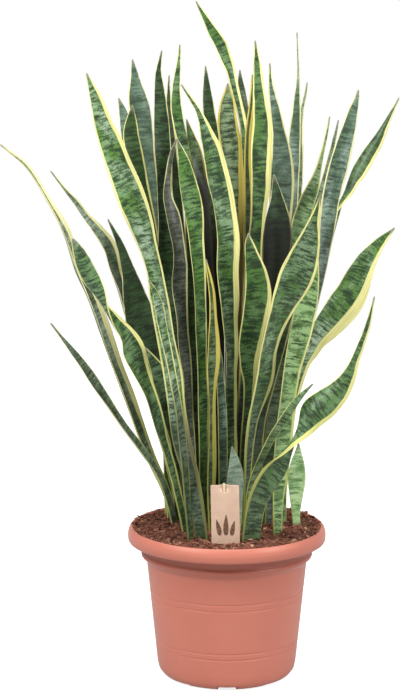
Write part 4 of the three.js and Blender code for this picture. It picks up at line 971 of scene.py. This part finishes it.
def leafMaterial(name):
    # A living succulent leaf: a tough waxy skin over thick flesh, so the green is deep and the light
    # on it is a soft wide sheen. Cross-bands end in fine jags that follow the fibres lengthwise.
    dark, light, fleck, yellow, olive = (linear(c) for c in finishes[name])
    material, tree = newMaterial("waxyLeaf" + name.capitalize())
    parts = []
    for attribute in ("bladePlace", "bladeKind", "bladeLight"):
        source = addNode(tree, "Attribute", output=1, attribute_name=attribute)
        parts.extend(addNode(tree, "SeparateXYZ", {0: source}).node.outputs)
    across, along, inside, seed, fromTip, gain, shade, bloomAndSheen = parts[:8]

    def streaks(pattern, upward):
        # noise over the blade, stretched as the pattern says and moved by the leaf's own seed
        *scales, detail = bladePatterns[pattern]
        place = [addNode(tree, "Math", {0: socket, 1: scale}, operation="MULTIPLY")
                 for socket, scale in zip((across, upward, seed), scales)]
        return addNode(tree, "TexNoise", {"Vector": addNode(tree, "CombineXYZ", dict(enumerate(place))),
                                          "Scale": 1.0, "Detail": detail, "Roughness": 0.55})

    jag = streaks("jag", along)
    warp = streaks("warp", along)
    jagged = addNode(tree, "Math", {0: jag, 1: 2.8, 2: along}, operation="MULTIPLY_ADD")
    warped = addNode(tree, "Math", {0: warp, 1: 7.0, 2: jagged}, operation="MULTIPLY_ADD")
    # bands: three noises summed and centred, then pushed to dark or light by the leaf's own gain
    patches, bands, mottle = (streaks(pattern, warped) for pattern in ("patches", "bands", "mottle"))
    mixed = addNode(tree, "Math", {0: patches, 1: 0.7, 2: bands}, operation="MULTIPLY_ADD")
    mixed = addNode(tree, "Math", {0: mottle, 1: 0.6, 2: mixed}, operation="MULTIPLY_ADD")
    centred = addNode(tree, "Math", {0: mixed, 1: 1.15}, operation="SUBTRACT")
    strong = addNode(tree, "Math", {0: centred, 1: gain}, operation="MULTIPLY")
    share = addNode(tree, "MapRange", {0: strong, 1: -0.12, 2: 0.16}, interpolation_type="SMOOTHSTEP")
    body = addNode(tree, "Mix", {0: share, 6: dark, 7: light}, 2, data_type="RGBA")
    # pale waxy bloom together with a painted sheen, most of it on the light parts of the bands
    waxAndSheenShare = addNode(tree, "MapRange", {0: streaks("lengths", along), 1: 0.38, 2: 0.62, 3: 0.05, 4: 0.8})
    waxAndSheenShare = addNode(tree, "Math", {0: waxAndSheenShare, 1: bloomAndSheen}, operation="MULTIPLY")
    waxAndSheenShare = addNode(tree, "Math", {0: waxAndSheenShare, 1: addNode(tree, "MapRange", {0: share, 3: 0.15, 4: 1.15})},
                    operation="MULTIPLY")
    flecked = addNode(tree, "Mix", {0: waxAndSheenShare, 6: body, 7: fleck}, 2, data_type="RGBA")
    # the darkest lines between bands, and a lighter one beside the margin
    groove = addNode(tree, "MapRange", {0: bands, 1: 0.34, 2: 0.44, 3: 0.6, 4: 0.0})
    groove = addNode(tree, "Math", {0: groove, 1: gain}, operation="MULTIPLY")
    deep = addNode(tree, "Mix", {0: groove, 6: flecked, 7: linear("#1B281A")}, 2, data_type="RGBA")
    rib = addNode(tree, "MapRange", {0: inside, 1: 0.0, 2: 2.5, 3: 0.4, 4: 0.0})
    ribbed = addNode(tree, "Mix", {0: rib, 6: deep, 7: light}, 2, data_type="RGBA")
    # margin: two yellows in long streaks, greener towards the foot, with a wandering inner edge
    streak = addNode(tree, "MapRange", {0: streaks("lengthwise", along), 1: 0.45, 2: 0.75})
    margin = addNode(tree, "Mix", {0: streak, 6: yellow, 7: olive}, 2, data_type="RGBA")
    green = addNode(tree, "MapRange", {0: along, 1: 60.0, 2: 330.0, 3: 0.75, 4: 0.0})
    margin = addNode(tree, "Mix", {0: green, 6: margin, 7: linear("#A2AE45")}, 2, data_type="RGBA")
    edge = addNode(tree, "Math", {0: jag, 1: 1.4, 2: inside}, operation="MULTIPLY_ADD")
    wandering = addNode(tree, "Math", {0: warp, 1: 2.0, 2: edge}, operation="MULTIPLY_ADD")
    inMargin = addNode(tree, "MapRange", {0: wandering, 1: 1.4, 2: 2.1, 3: 1.0, 4: 0.0})
    edged = addNode(tree, "Mix", {0: inMargin, 6: ribbed, 7: margin}, 2, data_type="RGBA")
    # the dry tip's last few mm, then the dim light low in the clump
    tipPlace = addNode(tree, "Math", {0: jag, 1: 6.0, 2: fromTip}, operation="MULTIPLY_ADD")
    tipShare = addNode(tree, "MapRange", {0: tipPlace, 1: 6.0, 2: 18.0, 3: 0.8, 4: 0.0})
    colour = addNode(tree, "Mix", {0: tipShare, 6: edged, 7: linear("#7F7F6C")}, 2, data_type="RGBA")
    colour = addNode(tree, "Mix", {0: shade, 6: colour, 7: linear("#100F0B")}, 2, data_type="RGBA")
    rough = addNode(tree, "MapRange", {0: mottle, 1: 0.3, 2: 0.7, 3: 0.34, 4: 0.48})
    bump = addNode(tree, "Bump", {"Strength": 0.3, "Distance": 0.0004, "Height": jag})
    shader = addNode(tree, "BsdfPrincipled", {"Base Color": colour, "Roughness": rough, "Normal": bump,
                                             "IOR": 1.42})
    addNode(tree, "OutputMaterial", {"Surface": shader})
    return material


leafMaterials = {name: leafMaterial(name) for name in finishes}
for leafIndex, leafName in enumerate(leaves):
    leafPiece(leafName, leafIndex)
print("leaves done:", len(leaves))
